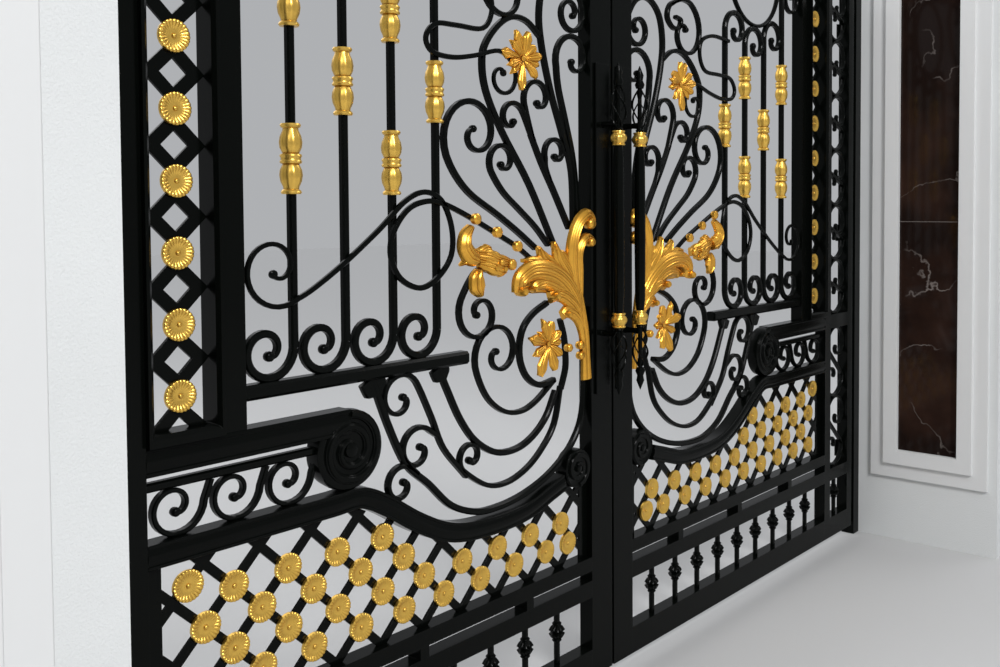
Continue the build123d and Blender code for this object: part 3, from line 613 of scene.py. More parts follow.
grace_row = Leafwork()
thin_height = row_top - THIN_RAIL / 2
thin_line = straight((row_low.x - centre_x, thin_height), (side_start, thin_height))
sweep_bar(grace_row, thin_line, THIN_RAIL, thickness=row_high.y - row_low.y)
for number in range(3):
    eye = (side_start - GRACE_PLACE - number * GRACE_PITCH, band_top + GRACE_EYE)
    turned = spiral((eye[0] - GRACE_REACH, eye[1]), eye, 440, 0.012, 0.9)
    top = (eye[0] - GRACE_REACH - GRACE_LEAN, row_top - THIN_RAIL)
    lead = smooth_path([top, turned[0], turned[3]])[:5]
    sweep_bar(grace_row, lead + turned, GRACE_BAR[0], thickness=GRACE_BAR[1], tip=STRIP_TIP)
    boss(grace_row, turned[-1], STRIP_SNUB[0], BAR_DEPTH, SNUB_DEPTH)
grace_row.show("scroll_row")


# Heavy rail that rolls up into the big volute, and the rail under the bars
# Hollow moulded section with a rounded face; its end is rolled into a spiral with a raised
# rib that winds in to a boss.
HEAVY_RAIL = 0.061
HALF_FACE = [
    (0.5, 0.0), (0.5, 0.002), (0.47, 0.0035), (0.36, 0.0035), (0.33, 0.001), (0.26, 0.001), (0.2, 0.003),
]
RAIL_FRONT, RAIL_BACK = 0.003, 0.047
RAIL_FACE = HALF_FACE + [(0.0, 0.0045)] + [(-offset, rise) for offset, rise in reversed(HALF_FACE)]
RAIL_SECTION = [(offset, RAIL_FRONT - rise) for offset, rise in RAIL_FACE]
RAIL_SECTION += [(-0.5, RAIL_BACK), (0.5, RAIL_BACK)]
VOLUTE_RADIUS = 0.096
VOLUTE_PLACE = 0.512
VOLUTE_RIB = 0.022
VOLUTE_HUB = 0.001
RIB_INNER = 0.020
RIB_DEPTH = 0.009
BAR_RAIL = (0.035, 0.042)
BAR_RAIL_START = 640
FLARES = [(738, 0.038), (966, 0.046)]
FLARE_DEPTH = 0.018
FLARE_FOOT = 0.012
volute_eye = (side_start - VOLUTE_PLACE, WAIST_TOP - VOLUTE_RADIUS - 0.004)


def moulded(work, path, width):
    """A hollow rail with the moulded face along a flat path."""
    rings = []
    for spot, side in zip(path, square_to(path)):
        ring = []
        for offset, depth in RAIL_SECTION:
            place = spot + side * offset * width
            ring.append((place[0], depth, place[1]))
        rings.append(ring)
    work.rings(rings)


heavy = Leafwork()
heavy_height = WAIST_TOP - HEAVY_RAIL / 2
heavy_line = straight((volute_eye[0], heavy_height), (side_start, heavy_height))
moulded(heavy, heavy_line, HEAVY_RAIL)
big_volute = [
    (VOLUTE_HUB, RAIL_BACK), (VOLUTE_RADIUS, RAIL_BACK), (VOLUTE_RADIUS + 0.003, BAR_DEPTH),
    (VOLUTE_RADIUS, 0.004), (VOLUTE_RADIUS - 0.006, 0.001), (VOLUTE_RADIUS - 0.020, 0.004),
    (VOLUTE_HUB, 0.004),
]
disc(heavy, volute_eye, big_volute, 48)
rib_path = spiral((volute_eye[0], WAIST_TOP - VOLUTE_RIB * 0.55), volute_eye, 720, RIB_INNER, 0.9)
for depth, width in ((0.003, VOLUTE_RIB), (-0.001, VOLUTE_RIB * 0.62)):
    sweep_bar(heavy, rib_path, width, depth, RIB_DEPTH, tip=width * 0.6)
boss(heavy, volute_eye, 0.019, 0.001, 0.012)
rail_height = RAIL_TOP - BAR_RAIL[0] / 2
bar_rail_line = straight((across(BAR_RAIL_START), rail_height), (field_end, rail_height))
sweep_bar(heavy, bar_rail_line, BAR_RAIL[0], thickness=BAR_RAIL[1])
for place, reach in FLARES:
    middle, under = across(place), rail_height - BAR_RAIL[0] / 2
    flare = [(middle - reach * 0.55, under - reach * 0.9), (middle - reach * 0.2, under - reach * 0.35)]
    flare_path = smooth_path(flare + [(middle, under + 0.002)])
    sweep_bar(heavy, flare_path, reach * 1.6, thickness=FLARE_DEPTH, foot=FLARE_FOOT)
heavy.show("volute_rail")


# Ogee band over the lattice
# The same moulded rail, bent in an ogee down to a small volute that stands against the
# meeting stile.
BAND = 0.052
BAND_LINE = [(930, 740), (836, 678), (740, 628), (648, 604), (517, 596), (400, 604), (298, 634), (236, 652)]
SMALL_VOLUTE_RADIUS = 0.060
SMALL_RIB = 0.015
SMALL_VOLUTE = [
    (VOLUTE_HUB, RAIL_BACK), (0.060, RAIL_BACK), (0.061, BAR_DEPTH), (0.060, 0.004), (0.056, 0.001),
    (0.048, 0.004), (VOLUTE_HUB, 0.004),
]
band_middle = band_top - BAND / 2

ogee = Leafwork()
band_path = straight((side_start, band_middle), (across(1090), band_middle))
band_path += smooth_path([(across(1090), band_middle), (across(1010), band_middle)] + drawn(BAND_LINE), 8)[1:]
moulded(ogee, band_path[::-1], BAND)
small_eye = (field_start + SMALL_VOLUTE_RADIUS + 0.002, up(681))
disc(ogee, small_eye, SMALL_VOLUTE, 36)
small_rib = spiral((small_eye[0] - 0.005, small_eye[1] - 0.052), small_eye, -560, 0.012, 0.9)
sweep_bar(ogee, small_rib, SMALL_RIB, 0.003, 0.008, tip=SMALL_RIB * 0.6)
boss(ogee, small_eye, 0.012, 0.001, 0.010)
ogee.show("ogee_band")


# Balusters at the foot
# Short square bars between the two bottom rails, each with a cast knot of leaves a little
# above the middle. The knots are one casting, set out along the row.
BALUSTER_COUNT = 9
BALUSTER = 0.0165
BALUSTER_FOOT = 0.088
BALUSTER_HEIGHT = 0.168
END_GAP = 0.0005
HALF_KNOT = [
    (0.0, 0.0160, 0), (0.006, 0.0255, 1), (0.016, 0.0195, 1), (0.022, 0.0115, 0), (0.026, 0.0150, 0),
    (0.030, 0.0115, 0),
]
KNOT_LEAVES = 8
KNOT_SHARE = 0.6
RIDGE_FULLNESS = 0.45


def mirrored(half):
    """A whole profile from its upper half, which may start at the middle."""
    return [(-height, *rest) for height, *rest in reversed(half) if height] + half


KNOT_PROFILE = mirrored(HALF_KNOT)
bay = (side_start - field_start) / (BALUSTER_COUNT + 1)
baluster_places = [field_start + bay * (number + 1) for number in range(BALUSTER_COUNT)]
baluster_places.append((strip_start + strip_end) / 2)
balusters = Leafwork()
foot, head = BALUSTER_FOOT + END_GAP, BALUSTER_FOOT + BALUSTER_HEIGHT - END_GAP
for place in baluster_places:
    sweep_bar(balusters, straight((place, foot), (place, head)), BALUSTER, thickness=BALUSTER)
balusters.show("balusters")


def curve_through(tree, along, shares):
    """A curve through evenly spaced values from 0 to 1, read at the place along it."""
    node = tree.nodes.new("ShaderNodeFloatCurve")
    points = node.mapping.curves[0].points
    while len(points) < len(shares):
        points.new(0.5, 0.5)
    for number, share in enumerate(shares):
        points[number].location = (number / (len(shares) - 1), share)
        points[number].handle_type = "VECTOR"
    node.mapping.update()
    tree.links.new(along, node.inputs["Value"])
    return node.outputs[0]


def casting_tree(name, profile, sides):
    """A turned casting with grooves round it, copied to each place that comes in.

    The profile gives heights, radii and how far each height is grooved, from foot to head.
    """

    def worked(operation, *values):
        return sum_of(tree, operation, *values)

    heights, radii, grooves = zip(*profile)
    low, tall, wide = min(heights), max(heights) - min(heights), max(radii)
    tree = bpy.data.node_groups.new(name, "GeometryNodeTree")
    tree.interface.new_socket("Geometry", in_out="INPUT", socket_type="NodeSocketGeometry")
    for label, value in [
        ("Height", tall), ("Radius", wide), ("Grooves", 8), ("Groove Depth", 0.1), ("Groove Rise", 0.0),
        ("Tilt", 0.0), ("Turn", 0.0),
    ]:
        tree.interface.new_socket(label, in_out="INPUT", socket_type="NodeSocketFloat").default_value = value
    tree.interface.new_socket("Material", in_out="INPUT", socket_type="NodeSocketMaterial")
    tree.interface.new_socket("Geometry", in_out="OUTPUT", socket_type="NodeSocketGeometry")
    entry = add_node(tree, "NodeGroupInput")
    given = entry.outputs
    tube = add_node(tree, "GeometryNodeMeshCylinder", Vertices=sides, Radius=1.0, Depth=1.0)
    tube.inputs["Side Segments"].default_value = len(profile) - 1
    position = add_node(tree, "GeometryNodeInputPosition")
    spot = add_node(tree, "ShaderNodeSeparateXYZ")
    along = worked("ADD", spot.outputs["Z"], 0.5)
    around = worked("ARCTAN2", spot.outputs["Y"], spot.outputs["X"])
    half_turns = worked("MULTIPLY", worked("MULTIPLY", around, given["Grooves"]), 0.5)
    wave = worked("ABSOLUTE", worked("COSINE", half_turns))
    ridge = worked("POWER", wave, RIDGE_FULLNESS)
    groove = worked("MULTIPLY", worked("SUBTRACT", 1.0, ridge), curve_through(tree, along, grooves))
    inward = worked("SUBTRACT", 1.0, worked("MULTIPLY", groove, given["Groove Depth"]))
    sunk = worked("SUBTRACT", 1.0, worked("MULTIPLY", groove, given["Groove Rise"]))
    reach = curve_through(tree, along, [radius / wide for radius in radii])
    rise = curve_through(tree, along, [(height - low) / tall for height in heights])
    radius = worked("MULTIPLY", worked("MULTIPLY", reach, given["Radius"]), inward)
    height = worked("MULTIPLY", worked("MULTIPLY", rise, given["Height"]), sunk)
    shaped = add_node(tree, "ShaderNodeCombineXYZ")
    casting = add_node(tree, "GeometryNodeSetPosition")
    number = add_node(tree, "GeometryNodeInputIndex")
    pose = add_node(tree, "ShaderNodeCombineXYZ")
    copies = add_node(tree, "GeometryNodeInstanceOnPoints")
    real = add_node(tree, "GeometryNodeRealizeInstances")
    finished = add_node(tree, "GeometryNodeSetMaterial")
    for value, node, socket in [
        (worked("MULTIPLY", spot.outputs["X"], radius), shaped, "X"),
        (worked("MULTIPLY", spot.outputs["Y"], radius), shaped, "Y"),
        (height, shaped, "Z"),
        (worked("MULTIPLY", number.outputs[0], given["Turn"]), pose, "Y"),
    ]:
        tree.links.new(value, node.inputs[socket])
    join(
        tree,
        (position, 0, spot, 0),
        (tube, "Mesh", casting, "Geometry"),
        (shaped, 0, casting, "Position"),
        (entry, "Tilt", pose, "X"),
        (entry, "Geometry", copies, "Points"),
        (casting, 0, copies, "Instance"),
        (pose, 0, copies, "Rotation"),
        (copies, 0, real, 0),
        (real, 0, finished, "Geometry"),
        (entry, "Material", finished, "Material"),
        (finished, 0, add_node(tree, "NodeGroupOutput"), 0),
    )
    return tree


def set_out(name, nodes, tree, places, sizes):
    """Runs a tree over the places on both leaves and keeps one plain mesh for each."""
    for side, sign in (("left", -1), ("right", 1)):
        dots = bpy.data.meshes.new(f"{side}_{name}_places")
        dots.from_pydata(on_leaf(sign, places), [], [])
        piece = bpy.data.objects.new(f"{side}_{name}_seen", dots)
        bpy.context.collection.objects.link(piece)
        copier = piece.modifiers.new(name, "NODES")
        copier.node_group = tree
        for socket in tree.interface.items_tree:
            if socket.in_out == "INPUT" and socket.name in sizes:
                copier[socket.identifier] = sizes[socket.name]
        seen = piece.evaluated_get(bpy.context.evaluated_depsgraph_get())
        mesh = bpy.data.meshes.new_from_object(seen)
        piece.modifiers.clear()
        piece.data = mesh
        mesh.shade_smooth()
        mesh.set_sharp_from_angle(angle=SHARP_ANGLE)
        hang(piece, side, nodes)


knot_foot = BALUSTER_FOOT + BALUSTER_HEIGHT * KNOT_SHARE + KNOT_PROFILE[0][0]
set_out(
    "baluster_knots", [], casting_tree("baluster_knot", KNOT_PROFILE, KNOT_LEAVES * 4),
    [(place, BAR_DEPTH, knot_foot) for place in baluster_places],
    {"Grooves": float(KNOT_LEAVES), "Groove Depth": 0.22, "Material": satin_black},
)


# Gilt collars on the upright bars
# Cast baluster collars threaded on the bars: two swelling necks with beads at the ends and
# round the middle, finished in gold paint, with painted shade that turns it darker in the hollows.
GOLD_COLOUR = (0.83, 0.52, 0.10)
GOLD_SHADE = (0.30, 0.135, 0.02)
GOLD_ROUGHNESS = 0.30
GOLD_METALLIC = 0.85
GRAIN_SCALE = 70.0
GRAIN_DEPTH = 0.0006
# How far the painted shade in the collars' and rosettes' hollows reaches.
PAINTED_SHADE_REACH = 0.022
HALF_COLLAR = [
    (0.0, 0.0226, 0), (0.0025, 0.0230, 0), (0.0065, 0.0254, 0), (0.0105, 0.0238, 0), (0.0125, 0.0185, 0),
    (0.016, 0.0205, 0.4), (0.026, 0.0248, 1), (0.038, 0.0262, 1), (0.052, 0.0240, 1), (0.064, 0.0185, 0.4),
    (0.070, 0.0175, 0), (0.072, 0.0215, 0), (0.077, 0.0238, 0), (0.081, 0.0215, 0),
]
COLLAR_PROFILE = mirrored(HALF_COLLAR)
COLLAR_LOBES = 10
COLLAR_HEIGHTS = ((1.606, 1.990), (1.797,))


def mixed(tree, under, over):
    """A node that goes from one colour to another; the first may be linked over."""
    node = add_node(tree, "ShaderNodeMix", data_type="RGBA")
    node.inputs[6].default_value = (*under, 1)
    node.inputs[7].default_value = (*over, 1)
    return node


def gilding(name, colour, shade_reach):
    """Gold paint with painted shade: bright on the high places, painted brown in the hollows where shade
    falls, slightly uneven.
    """
    material, tree, shader = new_material(name, colour, GOLD_ROUGHNESS, GOLD_METALLIC)
    # Ambient occlusion mixes the colour toward GOLD_SHADE: painted shade in the hollows, where less light
    # gets in.
    painted_shade = add_node(tree, "ShaderNodeAmbientOcclusion", samples=6, Distance=shade_reach)
    step = ranged(tree, 0.30, 0.88)
    cloud = cloud_on(tree, GRAIN_SCALE, 5.0)
    patchy = ranged(tree, 0.3, 0.75, 0.86, 1.12)
    tone = mixed(tree, GOLD_SHADE, colour)
    bump = add_node(tree, "ShaderNodeBump", Strength=0.5, Distance=GRAIN_DEPTH)
    join(
        tree,
        (painted_shade, "AO", step, "Value"),
        (cloud, "Fac", patchy, "Value"),
        (tone, 2, shader, "Base Color"),
        (cloud, "Fac", bump, "Height"),
        (bump, "Normal", shader, "Normal"),
    )
    tree.links.new(sum_of(tree, "MULTIPLY", step.outputs[0], patchy.outputs[0]), tone.inputs[0])
    return material


gold_paint = gilding("gold_paint", GOLD_COLOUR, PAINTED_SHADE_REACH)
collar_places = []
for number, place in enumerate(bar_places):
    for height in COLLAR_HEIGHTS[number % 2]:
        collar_places.append((place, BAR_DEPTH, height + COLLAR_PROFILE[0][0]))
set_out(
    "bar_collars", ["bar_collars"], casting_tree("bar_collar", COLLAR_PROFILE, COLLAR_LOBES * 4),
    collar_places, {"Grooves": float(COLLAR_LOBES), "Groove Depth": 0.065, "Material": gold_paint},
)


# Gilt rosettes
# One cast rosette repeated at every crossing of the lattice and up the narrow strip: a dish
# with short flutes round its raised rim and a button at the heart.
ROSETTE_PROFILE = [
    (0.0, 0.0340, 0.3), (0.0060, 0.0350, 0.4), (0.0100, 0.0342, 0.7), (0.0116, 0.0318, 1),
    (0.0114, 0.0288, 1), (0.0104, 0.0258, 1), (0.0086, 0.0222, 0.9), (0.0066, 0.0170, 0.5),
    (0.0052, 0.0090, 0.1), (0.0058, 0.0056, 0), (0.0082, 0.0046, 0), (0.0098, 0.0026, 0), (0.0101, 0.0003, 0),
]
ROSETTE_FLUTES = 24
ROSETTE_TURN = 0.37
ROSETTE_ROWS = 4
ROSETTE_COLUMNS = 11
ROSETTE_PITCH = 0.1386
STRIP_PITCH = 0.150
LATTICE_EDGE = 0.038
FIRST_CROSSING = 0.065
SWELL_END = 870
START_ROOM, END_ROOM, BAND_ROOM = 1.8, 1.6, 1.7

rosette_radius = max(radius for height, radius, groove in ROSETTE_PROFILE)
lattice_front = lattice_low.y - face_y
row_step = ROSETTE_PITCH / 2
lattice_start = field_start + LATTICE_EDGE
lattice_end = side_start - LATTICE_EDGE
rosette_places = []
for row in range(ROSETTE_ROWS):
    shift = row % 2 * row_step
    for column in range(ROSETTE_COLUMNS):
        middle = field_start + FIRST_CROSSING + shift + column * ROSETTE_PITCH
        middle = max(middle, lattice_start + START_ROOM * rosette_radius)
        under_swell = row > 1 and middle < across(SWELL_END) + (row - 2) * row_step
        if middle < lattice_end - rosette_radius and not under_swell:
            rosette_places.append((middle, lattice_front, lattice_foot + row_step * (row + 1)))
corner_height = band_middle - BAND / 2 - BAND_ROOM * rosette_radius
rosette_places.append((lattice_end - END_ROOM * rosette_radius, lattice_front, corner_height))
strip_sides = [corner.x - centre_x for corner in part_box("right_strip_lattice")]
strip_middle = sum(strip_sides) / 2
strip_top = arch_under(strip_sides[0])
strip_height = RAIL_TOP
while strip_height < strip_top - rosette_radius:
    rosette_places.append((strip_middle, lattice_front, strip_height))
    strip_height += STRIP_PITCH
set_out(
    "rosettes", ["rosettes"], casting_tree("rosette", ROSETTE_PROFILE, ROSETTE_FLUTES * 4),
    rosette_places,
    {"Grooves": float(ROSETTE_FLUTES), "Groove Depth": 0.03, "Groove Rise": 0.16, "Tilt": pi / 2,
     "Turn": ROSETTE_TURN, "Material": gold_paint},
)


# Gilt acanthus spray
# The big casting over the meeting of the stems: a fluted trunk that rises from a sheath,
# two tall leaves that curl over toward the stile and lobed leaves that spread the other way.
CAST_FRONT = 0.015
WARM_GOLD = (0.86, 0.445, 0.058)
# How far the painted shade in the spray's hollows reaches.
SPRAY_PAINTED_SHADE_REACH = 0.030
LOBE_DEPTH = 0.20
RIB_DEPTH_SHARE = 0.26
NARROW_BLADE = 0.009
BLADE_EDGE = 0.001
BLADE_BACK = 0.004
BACK_WIDTH = 0.63


def leaf_blade(work, line, widths, swell, flutes, lobes, lift, sag=0.0):
    """A cast leaf along a midrib: raised across, with round ribs along it and lobed edges."""
    path = smooth_path(drawn(line), 9)
    spread = np.interp(np.linspace(0, 1, len(path)), np.linspace(0, 1, len(widths)), widths) / 1000
    steps = 6 * flutes + 7
    rings = []
    for number, (spot, side) in enumerate(zip(path, square_to(path))):
        share = number / (len(path) - 1)
        lobe = LOBE_DEPTH * (1 - abs(sin(pi * lobes * share + 0.5)) ** 0.6) if lobes else 0.0
        half = spread[number] / 2
        rise = swell * min(1, half / NARROW_BLADE)
        ahead = lift * sin(pi * share * 0.85) + sag * share
        ring = []
        for step in range(steps):
            place_across = -1 + 2 * step / (steps - 1)
            crest = (1 - abs(place_across) ** 2.6) ** 0.6
            ridge = 1 - RIB_DEPTH_SHARE * (1 - abs(cos(pi * (flutes + 0.5) * place_across)) ** 0.55)
            place = spot + side * place_across * half * (1 - lobe * place_across**2)
            ring.append((place[0], CAST_FRONT - ahead - BLADE_EDGE - rise * crest * ridge, place[1]))
        for place_across in (BACK_WIDTH, -BACK_WIDTH):
            place = spot + side * place_across * half
            ring.append((place[0], CAST_FRONT - max(0, ahead - BLADE_BACK), place[1]))
        rings.append(ring)
    work.rings(rings)


spray = Leafwork()
SPRAY_LEAVES = [
    ([(122, 954), (129, 1025), (139, 1104), (157, 1164), (175, 1223), (190, 1290)],
     (44, 36, 44, 56, 66, 50), 0.018, 3, 0, 0.004),
    ([(175, 1200), (199, 1316), (198, 1385), (174, 1441), (134, 1468), (109, 1452), (118, 1436)],
     (40, 50, 50, 46, 42, 34, 20), 0.021, 2, 0, 0.012),
    ([(160, 1220), (166, 1290), (171, 1346), (155, 1384), (128, 1398), (110, 1390), (114, 1378)],
     (34, 44, 42, 36, 30, 24, 14), 0.020, 2, 0, 0.010),
    ([(170, 1200), (190, 1262), (215, 1316), (243, 1358)], (44, 60, 50, 16), 0.015, 2, 0, 0.004),
    ([(170, 1190), (215, 1280), (262, 1336), (284, 1388)], (44, 66, 56, 14), 0.016, 3, 3, 0.009),
    ([(164, 1180), (216, 1262), (283, 1309), (330, 1342), (352, 1376)],
     (40, 68, 64, 50, 12), 0.016, 3, 4, 0.006),
    ([(170, 1200), (249, 1285), (328, 1321), (380, 1334), (420, 1338)],
     (40, 56, 52, 36, 12), 0.015, 2, 4, 0.009),
    ([(154, 1144), (190, 1216), (249, 1273), (317, 1303), (390, 1308), (438, 1284), (446, 1246)],
     (40, 60, 66, 66, 62, 60, 44), 0.020, 3, 0, 0.016),
    ([(160, 1150), (208, 1212), (261, 1247), (318, 1268), (362, 1267), (386, 1250)],
     (36, 46, 50, 46, 40, 24), 0.017, 2, 0, 0.012),
    ([(250, 1236), (310, 1256), (372, 1262), (420, 1262)], (30, 42, 46, 30), 0.010, 2, 0, 0.002),
    ([(148, 1118), (179, 1180), (226, 1218), (268, 1234), (304, 1222)],
     (30, 50, 56, 54, 40), 0.018, 3, 0, 0.012),
    ([(142, 1094), (161, 1140), (191, 1168), (220, 1176), (244, 1164)],
     (24, 42, 48, 46, 34), 0.016, 2, 0, 0.009),
]
for leaf in SPRAY_LEAVES:
    leaf_blade(spray, *leaf)
for place, radius, depth in [
    ((121, 1441), 0.019, 0.036), ((118, 1383), 0.015, 0.034), ((444, 1250), 0.014, 0.046),
    ((388, 1254), 0.009, 0.036), ((294, 1226), 0.013, 0.042), ((232, 1166), 0.011, 0.036),
]:
    boss(spray, drawn([place])[0], radius, CAST_FRONT - 0.002 - depth / 2, depth, 18)
for bead in drawn([(215, 1062), (160, 1064), (158, 1032)]):
    boss(spray, bead, 0.0135, CAST_FRONT - 0.010, 0.026)
warm_gold_paint = gilding("warm_gold_paint", WARM_GOLD, SPRAY_PAINTED_SHADE_REACH)
spray.show("acanthus_leaf", warm_gold_paint)


# Gilt flowers, bellflower and balls
# Separate castings riveted on: two open flowers with pointed petals, a bellflower on the
# looping bar and three balls beside it.
flowers = Leafwork()
UPPER_PETALS = [
    (420, 1829, 40, 0.3), (361, 1868, 34, 0.3), (462, 1872, 24, 0.1), (482, 1894, 28, 0.1),
    (506, 1932, 36, 0.2), (470, 1966, 30, 0.1), (441, 1999, 36, 0.2), (397, 1998, 42, 0.3),
    (362, 1958, 44, 0.5), (336, 1934, 30, 0.1), (342, 1906, 28, 0.2),
]
LOWER_PETALS = [
    (346, 992, 46, 0.5), (284, 1004, 44, 0.5), (372, 1054, 30, 0.1), (398, 1110, 36, 0.2),
    (352, 1124, 28, 0.1), (341, 1162, 32, 0.1), (292, 1150, 44, 0.5), (262, 1118, 34, 0.4),
    (250, 1086, 30, 0.3), (254, 1044, 32, 0.3),
]
PETAL_LINE = (0.10, 0.42, 0.74, 1.0)
PETAL_SWELL = 0.010
for heart, tips in (((410, 1920), UPPER_PETALS), ((305, 1083), LOWER_PETALS)):
    for number, (u, v, width, bluntness) in enumerate(tips):
        run_u, run_v = u - heart[0], v - heart[1]
        line = [(heart[0] + run_u * share, heart[1] + run_v * share) for share in PETAL_LINE]
        over = 0.003 + 0.005 * (number % 2)
        widths = (12, width * 0.72, width, max(3, width * bluntness))
        leaf_blade(flowers, line, widths, PETAL_SWELL, 1, 0, over, 0.004 * (1 + number % 2))
    boss(flowers, drawn([heart])[0], 0.009, CAST_FRONT - 0.008, 0.008)
BELL_LEAVES = [
    ([(629, 1440), (652, 1414), (658, 1386), (640, 1362), (612, 1350)],
     (20, 44, 54, 56, 44), 0.022, 2, 0, 0.010),
    ([(618, 1366), (645, 1350), (668, 1336)], (40, 30, 8), 0.016, 1, 0, 0.004),
    ([(610, 1360), (568, 1353), (529, 1340), (470, 1330)], (40, 60, 56, 36), 0.018, 3, 4, 0.008),
    ([(598, 1340), (560, 1330), (525, 1316), (498, 1312)], (30, 50, 44, 20), 0.016, 2, 3, 0.014),
    ([(600, 1362), (572, 1376), (548, 1376)], (30, 34, 10), 0.013, 1, 2, 0.006),
    ([(598, 1320), (606, 1298), (604, 1270), (594, 1246)], (22, 54, 58, 12), 0.020, 3, 0, 0.004),
]
for leaf in BELL_LEAVES:
    leaf_blade(flowers, *leaf)
for place, radius in [
    ((480, 1330), 0.017), ((524, 1338), 0.011), ((546, 1322), 0.010), ((512, 1318), 0.010),
]:
    boss(flowers, drawn([place])[0], radius, CAST_FRONT - 0.020, 0.026)
for place in drawn([(619, 1461), (535, 1423), (452, 1381)]):
    boss(flowers, place, 0.016, overlay_middle - OVERLAY_THICKNESS / 2 - 0.007, 0.024, 18)
flowers.show("gilt_flowers", warm_gold_paint)


# Pull handles
# A long black back plate on the meeting stile with a round grip held off it by two arms:
# gilt knobs mark the grip, and a cage of twisted leaves tapers to a point at each end.
HANDLE_STRIP = 0.103
GRIP_OUT = -0.070
KNOB_HEIGHT = 0.2845
HALF_GRIP = [(0.05, 0.018), (KNOB_HEIGHT * 0.8, 0.0165), (KNOB_HEIGHT, 0.010)]
PLATE_WIDTH = 0.068
PLATE_DEPTH = 0.008
CAGE_STRANDS = 4
CAGE_STEPS = 24
CAGE_START, CAGE_STOP = 0.030, 0.075
CAGE_REACH = (0.0045, 0.0215)
STRAND_RADIUS = 0.0036
SOCKET_PROFILE = [(0.022, 0.011), (0.030, 0.014), (0.036, 0.008)]
FINIAL_PROFILE = [
    (CAGE_STOP, 0.006), (0.074, 0.012), (0.062, 0.016), (0.048, 0.010), (0.032, 0.013), (0.002, 0.001),
]
ARM_RISE = 0.045
ARM_RADIUS, ARM_FLARE = 0.0085, 0.004
handle_low, handle_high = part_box("right_pull_handle")
handle_middle = (handle_low.z + handle_high.z) / 2 - foot_z
handle_half = (handle_high.z - handle_low.z) / 2
handle_u = field_start - HANDLE_STRIP / 2


def lathe(work, profile, at_u, at_depth, at_v, sides=24):
    """A turned shape from heights and radii."""
    rings = []
    for rise, radius in profile:
        rings.append([(at_u + radius * x, at_depth + radius * y, at_v + rise) for x, y in circle(sides)])
    work.rings(rings)


def cage_strand(work, start_turn, sign):
    """One round wire of a cage, half a turn about the grip's line from foot to head."""
    foot, head = KNOB_HEIGHT + CAGE_START, handle_half - CAGE_STOP
    rings = []
    for number in range(CAGE_STEPS + 1):
        share = number / CAGE_STEPS
        turn = start_turn + share * pi
        middle = CAGE_REACH[0] + CAGE_REACH[1] * sin(pi * share) ** 0.8
        height = foot + (head - foot) * share
        ring = []
        for out, rise in circle(6):
            reach = middle + STRAND_RADIUS * out
            place_v = handle_middle + sign * (height + STRAND_RADIUS * rise)
            ring.append((handle_u + reach * cos(turn), GRIP_OUT + reach * sin(turn), place_v))
        rings.append(ring)
    work.rings(rings)


handle = Leafwork()
plate_reach = handle_half - 0.001
plate_line = straight((handle_u, handle_middle - plate_reach), (handle_u, handle_middle + plate_reach))
sweep_bar(handle, plate_line, PLATE_WIDTH, -PLATE_DEPTH / 2, PLATE_DEPTH - 0.001)
lathe(handle, mirrored(HALF_GRIP), handle_u, GRIP_OUT, handle_middle)
for sign in (-1, 1):
    for strand in range(CAGE_STRANDS):
        cage_strand(handle, 2 * pi * strand / CAGE_STRANDS, sign)
    finial = [(KNOB_HEIGHT + rise, radius) for rise, radius in SOCKET_PROFILE]
    finial += [(handle_half - drop, radius) for drop, radius in FINIAL_PROFILE]
    lathe(handle, [(sign * rise, radius) for rise, radius in finial], handle_u, GRIP_OUT, handle_middle)
    arm_height = handle_middle + sign * (KNOB_HEIGHT + ARM_RISE)
    rings = []
    for share in np.linspace(0, 1, 7):
        wide = ARM_RADIUS + ARM_FLARE * abs(2 * share - 1) ** 2
        rings.append([(handle_u + wide * x, GRIP_OUT * share, arm_height + wide * z) for x, z in circle(12)])
    handle.rings(rings)
handle.show("pull_handle")

HALF_KNOB = [
    (0.0035, 0.0260, 1), (0.0085, 0.0238, 0.6), (0.0140, 0.0192, 0), (0.0165, 0.0188, 0), (0.0190, 0.0215, 0),
    (0.0225, 0.0205, 0), (0.0230, 0.0150, 0),
]
KNOB_PROFILE = mirrored(HALF_KNOB)
KNOB_LOBES = 12
knob_heights = [handle_middle + sign * KNOB_HEIGHT + KNOB_PROFILE[0][0] for sign in (-1, 1)]
set_out(
    "handle_knobs", [], casting_tree("handle_knob", KNOB_PROFILE, KNOB_LOBES * 4),
    [(handle_u, GRIP_OUT, height) for height in knob_heights],
    {"Grooves": float(KNOB_LOBES), "Groove Depth": 0.08, "Material": gold_paint},
)


# Pillars and caps
# Solid masonry with a sprayed, stippled render painted white; the caps are plain slabs in
# the same finish, laid on top. Their shape is the usual one.
RENDER_COLOUR = (0.77, 0.785, 0.785)
RENDER_ROUGHNESS = 0.88
STIPPLE_SCALE = 240.0
STIPPLE_DEPTH = 0.0022
PATCH_SCALE = 2.2


def stippled_render():
    """White wall paint over a sprayed stipple."""
    material, tree, shader = new_material("white_render", RENDER_COLOUR, RENDER_ROUGHNESS)
    grain = cloud_on(tree, STIPPLE_SCALE, 3.0, Roughness=0.6)
    wide = cloud_on(tree, PATCH_SCALE, 3.0)
    tone = ranged(tree, 0.0, 1.0, 0.93, 1.05)
    tinted = add_node(tree, "ShaderNodeVectorMath", operation="SCALE")
    tinted.inputs[0].default_value = RENDER_COLOUR
    bump = add_node(tree, "ShaderNodeBump", Strength=0.6, Distance=STIPPLE_DEPTH)
    join(
        tree,
        (wide, "Fac", tone, "Value"),
        (tone, "Result", tinted, "Scale"),
        (tinted, 0, shader, "Base Color"),
        (grain, "Fac", bump, "Height"),
        (bump, "Normal", shader, "Normal"),
    )
    return material


white_render = stippled_render()
dress("pillar", white_render)
dress("pillar_cap", white_render)
dress("jamb", satin_black)


# Mouldings round the marble
# A frame of cast moulding in two steps round each panel, glued to the render, its corners
# mitred, and painted smooth white with a slight gloss.
MOULDING_COLOUR = (0.78, 0.785, 0.785)
MOULDING_ROUGHNESS = 0.42
MOULDING_EDGE = 0.004

